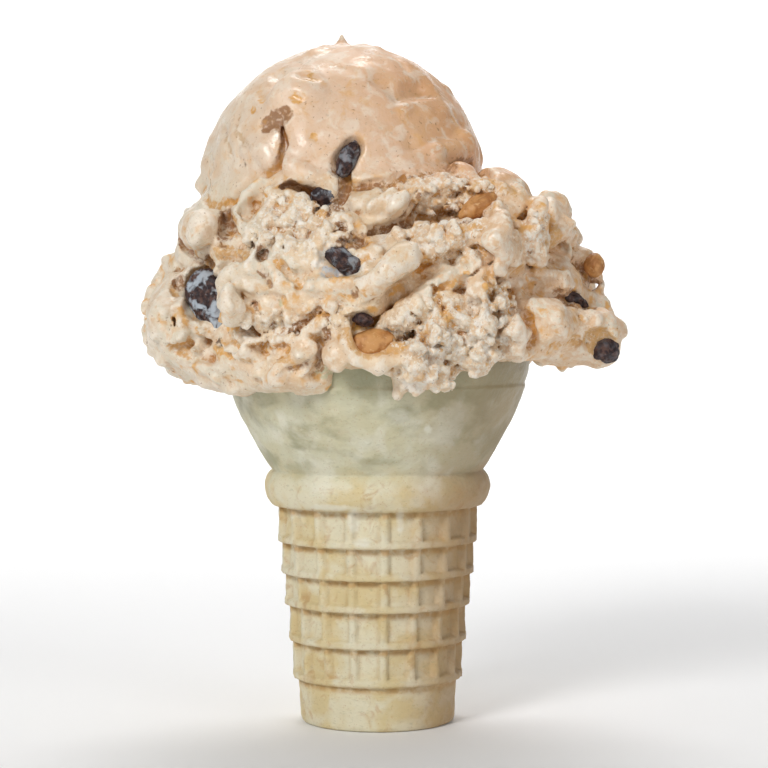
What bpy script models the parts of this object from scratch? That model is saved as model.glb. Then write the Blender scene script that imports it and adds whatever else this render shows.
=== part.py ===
"""Scooped ice cream with chocolate and nut pieces, in a flat-bottomed moulded wafer cup.

The frame is the cup's: the origin is the middle of the flat base, +Z runs up the cup's axis and -Y is
the front. The cup is a thin shell, moulded with a grid of ribs and rings. The ice cream fills it and
hangs over its rim. Each chocolate or nut piece sits in a pocket of its own in the ice cream.
"""

import math

import bmesh
import bpy
from mathutils import Euler, Vector, noise

MM = 0.001
GAP = 0.3  # left between pieces that touch; this and all sizes below are in millimetres

# Wafer cup, from the base up.
BASE_RADIUS = 15.4
BASE_CORNER = 0.9
BAND_RADIUS = 15.8
RIB_COUNT = 18
RIB_AZIMUTH = math.radians(4.0)  # of the rib nearest the front, towards +X
RIB_TOP = 1.1  # width of a rib's flat top
RIB_FOOT = 2.3  # width of a rib where it meets the cell floor
CELL_DEPTH = 1.1
RING_BEVEL = 0.5
RING_CREST = 0.9
TIERS = ((8.8, 17.0), (16.3, 17.75), (23.4, 18.55), (29.7, 19.3), (36.0, 20.0))  # height, radius
COLLAR_BOTTOM = 43.2
COLLAR_TOP = 50.4
COLLAR_BULGE = 1.75
COLLAR_FULLNESS = 0.7  # how square the bulge is: 1 is a plain arch
COLLAR_EDGE_RADIUS = 20.6
NECK_RADIUS = 21.0
BOWL_FULLNESS = 1.6  # how early the bowl spreads: 1 is a straight cone
BOWL_STEP_HEIGHT = 67.3
BOWL_STEP = 0.4
RIM_HEIGHT = 74.0
RIM_RADIUS = 31.0
WALL = 1.6
FLOOR = 1.8
RIM_ROUNDING = 0.5 * WALL  # how far under the rim its outer edge starts to turn in
RIM_INSET = 0.35 * WALL
COLLAR_RINGS = 7
BOWL_RINGS = 5  # under the step
RIM_RINGS = 2  # over the step
ENVELOPE_RINGS = 6
FILLING_RISE = 4.0  # of the filling over the rim, into the scoop

# Ice cream, as (start, end, radius) of each roll and (centre, radii) of each rounded mass.
MASSES = (
    ((-7.3, 1.0, 109.0), (28.2, 27.5, 25.8)),  # dome
    ((0.0, 1.0, 87.0), (37.5, 35.5, 15.0)),  # body under it
    ((-33.9, -15.0, 98.4), (4.2, 4.2, 4.4)),  # coated ball at the left
    ((41.0, -3.0, 91.0), (3.7, 3.4, 3.4)),  # nub at the right
    ((40.6, -4.0, 85.2), (3.4, 3.2, 2.6)),  # lump under the nub
)
ROLLS = (
    ((-34.0, -9.0, 79.5), (-34.0, 6.0, 81.0), 11.6),  # left lobe
    ((-30.0, -16.0, 73.5), (-14.0, -27.0, 73.0), 7.6),  # lower left flap
    ((-31.0, -8.0, 97.0), (-18.0, -21.0, 100.0), 8.0),  # left shoulder
    ((-23.0, -21.0, 94.0), (-8.0, -25.5, 95.5), 7.5),
    ((-22.0, -25.0, 86.0), (-6.0, -28.0, 91.0), 7.6),
    ((-8.0, -29.0, 80.0), (-2.0, -30.5, 77.0), 6.4),
    ((0.5, -22.5, 103.0), (22.0, -18.0, 102.5), 7.6),  # second layer
    ((20.0, -25.0, 95.0), (-3.0, -30.0, 84.5), 7.0),  # diagonal folds
    ((22.0, -26.0, 88.0), (2.0, -30.0, 77.5), 6.0),
    ((16.0, -30.0, 81.0), (7.5, -31.0, 73.5), 5.4),  # hanging slab
    ((18.0, -28.0, 78.0), (28.0, -21.0, 77.5), 6.4),
    ((23.0, -17.0, 97.0), (31.6, -3.0, 97.0), 8.2),  # right shoulder
    ((30.0, -14.0, 86.5), (36.0, -2.0, 84.5), 7.8),
    ((33.0, -13.0, 77.5), (42.2, -11.0, 76.6), 6.0),  # right lobe
    ((-31.0, 12.0, 82.0), (-12.0, 30.0, 79.0), 9.2),  # back
    ((-8.0, 31.0, 84.0), (17.0, 29.5, 80.0), 9.0),
    ((22.0, 26.0, 80.0), (35.0, 8.0, 81.0), 9.0),
    ((-22.0, 19.0, 99.0), (20.0, 19.0, 99.0), 8.4),
)
PEAK_TIP = (-7.1, 1.0, 137.3)
PEAK_HEIGHT = 6.0
PEAK_RADIUS = 2.3
PEAK_TIP_RADIUS = 0.35
PEAK_SIDES = 10
ROLL_SUBDIVISIONS = 3
VOXEL = 1.15
SMOOTHING = 0.5
SMOOTH_STEPS = 6
LUMP_DEPTH = 1.1
LUMP_SIZE = 7.0
LUMP_OCTAVES = 3
DOME_CALM = 0.7  # the part of the lumps' depth that is lost on the upper dome
DOME_CALM_RISE = 10.0
ICE_TRIANGLES = 2250

# Pieces in the ice cream: name, kind, centre, radii, turn in degrees.
PIECES = (
    ("chocolate_left", "chocolate", (-31.8, -18.8, 83.4), (4.4, 3.0, 6.8), (0, -16, -25)),
    ("chocolate_middle", "chocolate", (-6.0, -34.2, 91.3), (3.7, 2.1, 2.1), (0, 32, 0)),
    ("chocolate_low", "chocolate", (-2.6, -35.1, 80.5), (1.9, 1.8, 1.2), (0, 10, 0)),
    ("chocolate_tip", "chocolate", (43.8, -13.4, 74.4), (3.2, 3.1, 2.9), (0, 0, 0)),
    ("chocolate_right", "chocolate", (37.6, -13.0, 84.4), (3.5, 2.3, 1.4), (0, 20, 30)),
    ("chocolate_upper", "chocolate", (-10.0, -25.6, 103.6), (2.6, 2.2, 2.3), (0, 30, 0)),
    ("chocolate_dome", "chocolate", (-5.5, -25.0, 110.6), (1.9, 1.9, 3.4), (0, 22, 0)),
    ("nut_front", "nut", (-1.3, -35.1, 76.0), (4.6, 2.6, 2.7), (0, -15, 0)),
    ("nut_upper", "nut", (19.0, -26.4, 101.6), (4.4, 2.6, 2.2), (0, -30, 20)),
    ("nut_edge", "nut", (42.8, -4.8, 91.0), (2.1, 2.3, 2.4), (0, 0, 0)),
)
PIECE_SUBDIVISIONS = 2
PIECE_ROUGHNESS = 0.12
PIECE_WAVINESS = 1.4
PIECE_VARIETY = 3.7  # how far apart in the noise two pieces are
POCKET_GROWTH = 1.3 * GAP
SHARP_ANGLE = math.radians(35)

# name: colour, roughness
MATERIALS = {
    "wafer": ((0.66, 0.50, 0.27, 1.0), 0.7),
    "ice_cream": ((0.80, 0.60, 0.40, 1.0), 0.4),
    "chocolate": ((0.04, 0.02, 0.015, 1.0), 0.35),
    "nut": ((0.60, 0.32, 0.12, 1.0), 0.5),
}


def clear_scene():
    for item in list(bpy.data.objects):
        bpy.data.objects.remove(item, do_unlink=True)


def material(name):
    found = bpy.data.materials.get(name)
    if found:
        return found
    colour, roughness = MATERIALS[name]
    made = bpy.data.materials.new(name)
    made.use_nodes = True
    shader = made.node_tree.nodes["Principled BSDF"]
    shader.inputs["Base Color"].default_value = colour
    shader.inputs["Roughness"].default_value = roughness
    return made


def object_from(bm, name, kind=None):
    """Turn a bmesh in millimetres into an object in metres; without a kind it is a cutter."""
    bmesh.ops.scale(bm, vec=(MM, MM, MM), verts=bm.verts)
    mesh = bpy.data.meshes.new(name)
    bm.to_mesh(mesh)
    bm.free()
    made = bpy.data.objects.new(name, mesh)
    bpy.context.scene.collection.objects.link(made)
    if kind:
        mesh.materials.append(material(kind))
        mesh.shade_smooth()
        mesh.set_sharp_from_angle(angle=SHARP_ANGLE)
    else:
        made.hide_render = True
        made.display_type = "WIRE"
    return made


def around(radius, angle, height):
    """A point at an azimuth measured from the front, -Y, towards +X."""
    return Vector((radius * math.sin(angle), -radius * math.cos(angle), height))


# ---------------------------------------------------------------- wafer cup

def collar_radius(height):
    part = (height - COLLAR_BOTTOM) / (COLLAR_TOP - COLLAR_BOTTOM)
    straight = COLLAR_EDGE_RADIUS + (NECK_RADIUS - COLLAR_EDGE_RADIUS) * part
    return straight + COLLAR_BULGE * math.sin(math.pi * part) ** COLLAR_FULLNESS


def bowl_radius(height):
    part = (height - COLLAR_TOP) / (RIM_HEIGHT - COLLAR_TOP)
    spread = 1.0 - (1.0 - part) ** BOWL_FULLNESS
    step = BOWL_STEP if height > BOWL_STEP_HEIGHT else 0.0
    return NECK_RADIUS + (RIM_RADIUS - NECK_RADIUS) * spread - step


def inner_radius(height):
    """The cup's inside: under the ribs it follows the cell floors, above them the outside."""
    if height >= COLLAR_TOP:
        return bowl_radius(height) - WALL
    low_height, low_radius = TIERS[0]
    part = (height - low_height) / (COLLAR_TOP - low_height)
    low = low_radius - CELL_DEPTH - WALL
    return low + (NECK_RADIUS - WALL - low) * part


def steps(start, end, count):
    return [start + (end - start) * i / count for i in range(count + 1)]


INSIDE_HEIGHTS = steps(RIM_HEIGHT, COLLAR_TOP, 4) + steps(COLLAR_TOP, FLOOR, 2)[1:]


def coarse_ring(bm, radius, height):
    """Two corners a rib: one on the rib's middle, one on the cell's."""
    turn = math.pi / RIB_COUNT
    return [bm.verts.new(around(radius, RIB_AZIMUTH + i * turn, height)) for i in range(2 * RIB_COUNT)]


def fine_ring(bm, top_radius, foot_radius, height):
    """Four corners a rib: foot, top, top, foot."""
    ring = []
    for rib in range(RIB_COUNT):
        middle = RIB_AZIMUTH + rib * 2 * math.pi / RIB_COUNT
        for side, width, radius in ((-1, RIB_FOOT, foot_radius), (-1, RIB_TOP, top_radius),
                                    (1, RIB_TOP, top_radius), (1, RIB_FOOT, foot_radius)):
            ring.append(bm.verts.new(around(radius, middle + side * 0.5 * width / top_radius, height)))
    return ring


def bridge(bm, low, high):
    """Quads between two rings with the same number of corners, facing out as they climb."""
    count = len(low)
    for i in range(count):
        j = (i + 1) % count
        bm.faces.new((low[i], low[j], high[j], high[i]))


def ledge(bm, coarse, fine, fine_above):
    """A flat ring, facing down, between a coarse ring and a fine one at the same height."""
    for rib in range(RIB_COUNT):
        peak, cell, next_peak = (coarse[(2 * rib + k) % len(coarse)] for k in range(3))
        top_left, top_right, foot, next_foot, next_top = (
            fine[(4 * rib + k) % len(fine)] for k in (1, 2, 3, 4, 5))
        faces = ((peak, top_left, top_right), (peak, top_right, foot, cell),
                 (cell, foot, next_foot), (cell, next_foot, next_top, next_peak))
        for corners in faces:
            bm.faces.new(tuple(reversed(corners)) if fine_above else corners)


def waffle_rings(bm):
    """The tiers of cells, each standing out over the one below, as rings from the base up."""
    rings = []
    tops = [height for height, radius in TIERS[1:]] + [COLLAR_BOTTOM]
    for (bottom, radius), top in zip(TIERS, tops):
        floor = radius - CELL_DEPTH
        crest = bottom + RING_BEVEL
        rings.append(fine_ring(bm, radius - RING_BEVEL, radius - RING_BEVEL, bottom))
        rings.append(fine_ring(bm, radius, radius, crest))
        rings.append(fine_ring(bm, radius, radius, crest + RING_CREST))
        rings.append(fine_ring(bm, radius, floor, crest + RING_CREST + RING_BEVEL))
        rings.append(fine_ring(bm, radius, floor, top))
    return rings


def make_cup():
    bm = bmesh.new()
    base = [coarse_ring(bm, BASE_RADIUS - BASE_CORNER, 0.0),
            coarse_ring(bm, BASE_RADIUS - 0.3 * BASE_CORNER, 0.3 * BASE_CORNER),
            coarse_ring(bm, BASE_RADIUS, BASE_CORNER),
            coarse_ring(bm, BAND_RADIUS, TIERS[0][0])]
    bm.faces.new(tuple(reversed(base[0])))
    for low, high in zip(base, base[1:]):
        bridge(bm, low, high)
    waffle = waffle_rings(bm)
    ledge(bm, base[-1], waffle[0], fine_above=True)
    for low, high in zip(waffle, waffle[1:]):
        bridge(bm, low, high)
    upper = [coarse_ring(bm, collar_radius(z), z) for z in steps(COLLAR_BOTTOM, COLLAR_TOP, COLLAR_RINGS)]
    ledge(bm, upper[0], waffle[-1], fine_above=False)
    below_step = steps(COLLAR_TOP, BOWL_STEP_HEIGHT, BOWL_RINGS)[1:]
    above_step = steps(BOWL_STEP_HEIGHT + BOWL_STEP, RIM_HEIGHT - RIM_ROUNDING, RIM_RINGS)
    upper += [coarse_ring(bm, bowl_radius(z), z) for z in below_step + above_step]
    upper.append(coarse_ring(bm, bowl_radius(RIM_HEIGHT) - RIM_INSET, RIM_HEIGHT))
    upper += [coarse_ring(bm, inner_radius(z), z) for z in INSIDE_HEIGHTS]
    for low, high in zip(upper, upper[1:]):
        bridge(bm, low, high)
    bm.faces.new(upper[-1])
    return object_from(bm, "cake_cone", "wafer")


def turned_solid(name, profile):
    """A closed solid of revolution from (radius, height) pairs that climb the outside."""
    bm = bmesh.new()
    rings = [coarse_ring(bm, radius, height) for radius, height in profile]
    bm.faces.new(tuple(reversed(rings[0])))
    for low, high in zip(rings, rings[1:]):
        bridge(bm, low, high)
    bm.faces.new(rings[-1])
    return object_from(bm, name)


def make_cup_envelope():
    """The outside of the cup's bowl, grown by the gap and filled: no ice cream is inside it."""
    profile = []
    for height in steps(COLLAR_TOP, RIM_HEIGHT, ENVELOPE_RINGS):
        step = BOWL_STEP if height > BOWL_STEP_HEIGHT else 0.0
        profile.append((bowl_radius(height) + step + GAP, height + GAP))
    return turned_solid("cup_envelope", profile)


def make_filling():
    """The ice cream inside the cup, which runs up into the scoop."""
    profile = [(inner_radius(z) - GAP, z + GAP) for z in reversed(INSIDE_HEIGHTS)]
    profile.append((profile[-1][0], RIM_HEIGHT + FILLING_RISE))
    return turned_solid("filling", profile)


# ---------------------------------------------------------------- ice cream

def add_ball(bm, centre, radii, subdivisions):
    ball = bmesh.ops.create_icosphere(bm, subdivisions=subdivisions, radius=1.0)["verts"]
    bmesh.ops.scale(bm, vec=radii, verts=ball)
    bmesh.ops.translate(bm, vec=centre, verts=ball)
    return ball


def add_roll(bm, start, end, radius):
    """A round-ended roll: the hull of the two balls at its ends."""
    roll = bmesh.new()
    for centre in (start, end):
        add_ball(roll, centre, (radius,) * 3, ROLL_SUBDIVISIONS)
    hull = bmesh.ops.convex_hull(roll, input=roll.verts)
    bmesh.ops.delete(roll, geom=hull["geom_interior"], context="VERTS")
    scrap = bpy.data.meshes.new("roll")
    roll.to_mesh(scrap)
    roll.free()
    bm.from_mesh(scrap)
    bpy.data.meshes.remove(scrap)


def applied(source):
    """A copy of an object's mesh with its modifiers applied, as a bmesh in millimetres."""
    evaluated = source.evaluated_get(bpy.context.evaluated_depsgraph_get())
    mesh = bpy.data.meshes.new_from_object(evaluated)
    bm = bmesh.new()
    bm.from_mesh(mesh)
    bmesh.ops.scale(bm, vec=(1 / MM,) * 3, verts=bm.verts)
    bpy.data.meshes.remove(mesh)
    bpy.data.objects.remove(source, do_unlink=True)
    return bm


def merged_scoop():
    """All masses and rolls melted together, with uneven lumps, as a bmesh."""
    bm = bmesh.new()
    for centre, radii in MASSES:
        add_ball(bm, centre, radii, ROLL_SUBDIVISIONS + 1)
    for start, end, radius in ROLLS:
        add_roll(bm, start, end, radius)
    rough = object_from(bm, "rough_scoop")
    remesh = rough.modifiers.new("melt", "REMESH")
    remesh.mode = "VOXEL"
    remesh.voxel_size = VOXEL * MM
    smooth = rough.modifiers.new("soften", "SMOOTH")
    smooth.factor = SMOOTHING
    smooth.iterations = SMOOTH_STEPS
    bm = applied(rough)
    bm.normal_update()
    dome_height = MASSES[0][0][2]
    for vert in bm.verts:
        calm = min(1.0, max(0.0, (vert.co.z - dome_height) / DOME_CALM_RISE))
        lump = noise.fractal(vert.co / LUMP_SIZE, 1.0, 2.0, LUMP_OCTAVES)
        vert.co += vert.normal * lump * LUMP_DEPTH * (1.0 - DOME_CALM * calm)
    melted = object_from(bm, "melted_scoop")
    thin = melted.modifiers.new("thin", "DECIMATE")
    thin.use_collapse_triangulate = True
    thin.ratio = ICE_TRIANGLES / (2.0 * len(melted.data.polygons))
    return applied(melted)


def make_peak():
    bm = bmesh.new()
    bmesh.ops.create_cone(bm, cap_ends=True, segments=PEAK_SIDES, radius1=PEAK_RADIUS,
                          radius2=PEAK_TIP_RADIUS, depth=PEAK_HEIGHT)
    tip = Vector(PEAK_TIP)
    bmesh.ops.translate(bm, vec=tip - Vector((0, 0, 0.5 * PEAK_HEIGHT)), verts=bm.verts)
    return object_from(bm, "peak")


def keep_largest_body(bm):
    """Remove crumbs that the cuts left loose."""
    waiting = set(bm.verts)
    bodies = []
    while waiting:
        body, edge = set(), [waiting.pop()]
        while edge:
            vert = edge.pop()
            body.add(vert)
            for link in vert.link_edges:
                other = link.other_vert(vert)
                if other in waiting:
                    waiting.discard(other)
                    edge.append(other)
        bodies.append(body)
    largest = max(bodies, key=len)
    loose = [vert for body in bodies if body is not largest for vert in body]
    bmesh.ops.delete(bm, geom=loose, context="VERTS")


def boolean(target, tool, operation):
    cut = target.modifiers.new(tool.name, "BOOLEAN")
    cut.operation = operation
    cut.solver = "EXACT"
    cut.object = tool


def make_ice_cream(pockets):
    scoop = object_from(merged_scoop(), "whole_scoop")
    tools = [(make_cup_envelope(), "DIFFERENCE"), (make_filling(), "UNION"), (make_peak(), "UNION")]
    tools += [(pocket, "DIFFERENCE") for pocket in pockets]
    for tool, operation in tools:
        boolean(scoop, tool, operation)
    bpy.context.view_layer.update()
    bm = applied(scoop)
    for tool, operation in tools:
        bpy.data.objects.remove(tool, do_unlink=True)
    bmesh.ops.triangulate(bm, faces=bm.faces)
    keep_largest_body(bm)
    return object_from(bm, "ice_cream", "ice_cream")


# ---------------------------------------------------------------- chocolate and nuts

def piece_mesh(centre, radii, turn, seed, grow):
    """An uneven lump; grown by the gap it is the pocket for the same lump."""
    bm = bmesh.new()
    ball = bmesh.ops.create_icosphere(bm, subdivisions=PIECE_SUBDIVISIONS, radius=1.0)["verts"]
    shift = Vector((seed * PIECE_VARIETY, 0, 0))
    for vert in ball:
        vert.co *= 1.0 + PIECE_ROUGHNESS * noise.noise(vert.co * PIECE_WAVINESS + shift)
    bmesh.ops.scale(bm, vec=[radius + grow for radius in radii], verts=ball)
    angles = Euler([math.radians(angle) for angle in turn])
    bmesh.ops.rotate(bm, matrix=angles.to_matrix(), verts=ball)
    bmesh.ops.translate(bm, vec=centre, verts=ball)
    return bm


def make_pieces():
    """Each piece, and the pocket that it sits in."""
    pockets = []
    for seed, (name, kind, centre, radii, turn) in enumerate(PIECES):
        object_from(piece_mesh(centre, radii, turn, seed, 0.0), name, kind)
        pocket = piece_mesh(centre, radii, turn, seed, POCKET_GROWTH)
        pockets.append(object_from(pocket, "pocket_" + name))
    return pockets


def main():
    clear_scene()
    make_cup()
    make_ice_cream(make_pieces())


main()
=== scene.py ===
"""The looks of the ice cream cone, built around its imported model.

The ice cream is sculpted as a signed distance on a grid: lobes are melted together, then folds, lips,
pits and crumbs are drawn on it as strokes. A stroke is given as it is seen from one side: across and
height in millimetres, and the side's azimuth, 0 for the front (-Y) and 90 for +X. Its depth is found
on the surface. The sculpting is in millimetres and the pieces are in metres, in the model's frame.
"""

import math

import bmesh
import bpy
import numpy as np
from mathutils import Euler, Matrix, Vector, noise


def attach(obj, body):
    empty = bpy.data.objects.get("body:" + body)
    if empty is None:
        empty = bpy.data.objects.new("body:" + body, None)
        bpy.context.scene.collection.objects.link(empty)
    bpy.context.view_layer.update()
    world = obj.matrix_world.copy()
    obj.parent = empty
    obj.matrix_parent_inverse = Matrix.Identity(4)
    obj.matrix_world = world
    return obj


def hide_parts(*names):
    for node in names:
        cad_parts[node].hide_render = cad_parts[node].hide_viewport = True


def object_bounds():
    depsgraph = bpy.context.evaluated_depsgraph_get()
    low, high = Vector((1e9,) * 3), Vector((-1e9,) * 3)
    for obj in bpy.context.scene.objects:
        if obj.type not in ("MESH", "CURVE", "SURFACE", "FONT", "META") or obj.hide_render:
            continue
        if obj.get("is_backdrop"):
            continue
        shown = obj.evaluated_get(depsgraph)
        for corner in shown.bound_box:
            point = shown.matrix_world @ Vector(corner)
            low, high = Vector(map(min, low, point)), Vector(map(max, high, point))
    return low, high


MM = 0.001
SEED = 20

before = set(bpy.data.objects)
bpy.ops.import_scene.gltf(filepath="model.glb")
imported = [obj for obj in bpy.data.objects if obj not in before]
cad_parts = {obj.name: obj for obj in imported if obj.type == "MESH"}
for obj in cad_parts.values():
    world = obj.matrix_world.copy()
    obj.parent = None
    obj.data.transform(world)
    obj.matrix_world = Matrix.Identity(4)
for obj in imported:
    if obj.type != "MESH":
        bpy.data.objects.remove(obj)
cad_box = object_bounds()


# ---------------------------------------------------------------- the wafer cup's shape, in millimetres

RIB_COUNT = 18
RIB_AZIMUTH = math.radians(4.0)
RIB_TOP = 1.1
RIB_FOOT = 2.3
CELL_DEPTH = 1.1
RING_HEIGHT = 1.9
RING_SLOPE = 0.5
TIERS = ((8.8, 17.0), (16.3, 17.75), (23.4, 18.55), (29.7, 19.3), (36.0, 20.0))  # height, radius
BASE_RADIUS = 15.4
BASE_CORNER = 0.9
BAND_RADIUS = 15.8
COLLAR_BOTTOM = 43.2
COLLAR_TOP = 50.4
COLLAR_BULGE = 1.75
COLLAR_EDGE_RADIUS = 20.6
NECK_RADIUS = 21.0
BOWL_FULLNESS = 1.6
BOWL_STEP_HEIGHT = 67.3
BOWL_STEP = 0.4
RIM_HEIGHT = 74.0
RIM_RADIUS = 31.0
WALL = 1.6
FLOOR = 1.8
WAFFLE_RADIUS = 18.5  # at the middle tier, where the ribs' widths are measured
CUP_COLUMNS = 288
CUP_RING_STEP = 0.3


def smooth_step(value):
    value = np.clip(value, 0.0, 1.0)
    return value * value * (3.0 - 2.0 * value)


def cup_radius(height):
    """The cup's outer radius over its ribs, at each height of an array."""
    radius = np.interp(height, (0.0, 0.3 * BASE_CORNER, BASE_CORNER, TIERS[0][0]),
                       (BASE_RADIUS - BASE_CORNER, BASE_RADIUS - 0.3 * BASE_CORNER, BASE_RADIUS, BAND_RADIUS))
    for bottom, tier_radius in TIERS:
        radius = np.where(height > bottom, tier_radius, radius)
    part = np.clip((height - COLLAR_BOTTOM) / (COLLAR_TOP - COLLAR_BOTTOM), 0.0, 1.0)
    collar = COLLAR_EDGE_RADIUS + (NECK_RADIUS - COLLAR_EDGE_RADIUS) * part
    collar = collar + COLLAR_BULGE * np.sin(math.pi * part) ** 0.7
    radius = np.where(height > COLLAR_BOTTOM, collar, radius)
    part = np.clip((height - COLLAR_TOP) / (RIM_HEIGHT - COLLAR_TOP), 0.0, 1.0)
    bowl = NECK_RADIUS + (RIM_RADIUS - NECK_RADIUS) * (1.0 - (1.0 - part) ** BOWL_FULLNESS)
    bowl = bowl - BOWL_STEP * smooth_step((height - BOWL_STEP_HEIGHT) / BOWL_STEP)
    return np.where(height > COLLAR_TOP, bowl, radius)


# ---------------------------------------------------------------- clay

class Clay:
    """A signed distance on a grid, in millimetres: below zero is inside."""

    def __init__(self, low, high, cell):
        self.low = np.array(low, float)
        self.cell = cell
        self.count = np.ceil((np.array(high) - self.low) / cell).astype(int) + 1
        self.axes = [self.low[i] + cell * np.arange(self.count[i]) for i in range(3)]
        self.field = np.full(self.count, 9.0, np.float32)

    def window(self, low, high):
        """The slices that hold a box, and open arrays of their coordinates."""
        first = np.clip(((np.array(low) - self.low) / self.cell).astype(int), 0, self.count - 1)
        last = np.clip(((np.array(high) - self.low) / self.cell).astype(int) + 2, 1, self.count)
        slices = tuple(slice(a, b) for a, b in zip(first, last))
        x, y, z = (self.axes[i][slices[i]].astype(np.float32) for i in range(3))
        return slices, x[:, None, None], y[None, :, None], z[None, None, :]

    def sample(self, values, points):
        """Values of a grid at points, by trilinear interpolation."""
        place = (np.asarray(points, float) - self.low) / self.cell
        place = np.clip(place, 0.0, self.count - 1.001)
        base = place.astype(int)
        part = place - base
        total = np.zeros(len(place))
        for corner in range(8):
            step = np.array([corner & 1, corner >> 1 & 1, corner >> 2 & 1])
            weight = np.prod(np.where(step, part, 1.0 - part), axis=1)
            at = base + step
            total += weight * values[at[:, 0], at[:, 1], at[:, 2]]
        return total

    def touch(self, across, height, facing):
        """The first point of the clay met from the side that facing says."""
        angle = math.radians(facing)
        side = np.array([math.cos(angle), math.sin(angle), 0.0])
        outward = np.array([math.sin(angle), -math.cos(angle), 0.0])
        reach = np.arange(56.0, -10.0, -0.5 * self.cell)
        start = side * across + np.array([0.0, 0.0, height])
        line = start + reach[:, None] * outward
        inside = np.nonzero(self.sample(self.field, line) < 0.0)[0]
        first = inside[0] if len(inside) else len(reach) - 1
        return line[first], outward

    def noise(self, size, seed):
        """Smooth noise, about -1 to 1, from random values a size apart."""
        rng = np.random.default_rng(SEED + seed)
        knots = [int(count * self.cell / size) + 5 for count in self.count]
        values = rng.uniform(-1.0, 1.0, knots).astype(np.float32)
        for axis in range(3):
            place = self.cell * np.arange(self.count[axis]) / size + 1.0
            base = place.astype(int)
            part = place - base
            weights = np.zeros((len(place), knots[axis]), np.float32)
            rows = np.arange(len(place))
            for offset, weight in enumerate(catmull_rom(part)):
                weights[rows, base - 1 + offset] += weight
            values = np.moveaxis(np.tensordot(weights, values, axes=(1, axis)), 0, axis)
        return values

    def blurred(self, size):
        """The field's mean over boxes of a size, from a band round the surface."""
        values = np.clip(self.field, -2.5 * size, 2.5 * size)
        reach = max(1, int(round(0.5 * size / self.cell)))
        for axis in range(3):
            for repeat in range(2):
                padding = [(0, 0)] * 3
                padding[axis] = (reach + 1, reach)
                sums = np.cumsum(np.pad(values, padding, mode="edge"), axis=axis, dtype=np.float32)
                ahead = np.take(sums, range(2 * reach + 1, sums.shape[axis]), axis=axis)
                behind = np.take(sums, range(0, sums.shape[axis] - 2 * reach - 1), axis=axis)
                values = (ahead - behind) / (2 * reach + 1)
        return values


def catmull_rom(part):
    """The weights of four knots for a place between the middle two."""
    square, cube = part * part, part ** 3
    return (-0.5 * cube + square - 0.5 * part, 1.5 * cube - 2.5 * square + 1.0,
            -1.5 * cube + 2.0 * square + 0.5 * part, 0.5 * cube - 0.5 * square)


def melt(a, b, softness):
    """Union of two distances with a rounded join."""
    blend = np.maximum(softness - np.abs(a - b), 0.0)
    return np.minimum(a, b) - blend * blend / (4.0 * softness)


def roll_distance(x, y, z, start, end, start_radius, end_radius):
    """Distance to a round-ended roll whose radius changes along it."""
    start, end = np.asarray(start, np.float32), np.asarray(end, np.float32)
    run = end - start
    length = max(float(run @ run), 1e-6)
    dx, dy, dz = x - start[0], y - start[1], z - start[2]
    part = np.clip((dx * run[0] + dy * run[1] + dz * run[2]) / length, 0.0, 1.0)
    away = np.sqrt((dx - run[0] * part) ** 2 + (dy - run[1] * part) ** 2 + (dz - run[2] * part) ** 2)
    return away - (start_radius + (end_radius - start_radius) * part)


def add_roll(clay, start, end, radii, softness, sign=1):
    """Add a roll to the clay, or with a sign of -1 carve it away."""
    margin = max(radii) + softness + 1.5
    low = np.minimum(start, end) - margin
    high = np.maximum(start, end) + margin
    slices, x, y, z = clay.window(low, high)
    roll = roll_distance(x, y, z, start, end, *radii)
    if sign > 0:
        clay.field[slices] = melt(clay.field[slices], roll, softness)
    else:
        clay.field[slices] = -melt(-clay.field[slices], roll, softness)


def add_mass(clay, centre, radii, softness):
    centre, radii = np.array(centre), np.array(radii)
    slices, x, y, z = clay.window(centre - radii - 9.0, centre + radii + 9.0)
    shape = np.sqrt(((x - centre[0]) / radii[0]) ** 2 + ((y - centre[1]) / radii[1]) ** 2
                    + ((z - centre[2]) / radii[2]) ** 2)
    clay.field[slices] = melt(clay.field[slices], (shape - 1.0) * radii.min(), softness)


# ---------------------------------------------------------------- ice cream: large forms

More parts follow.
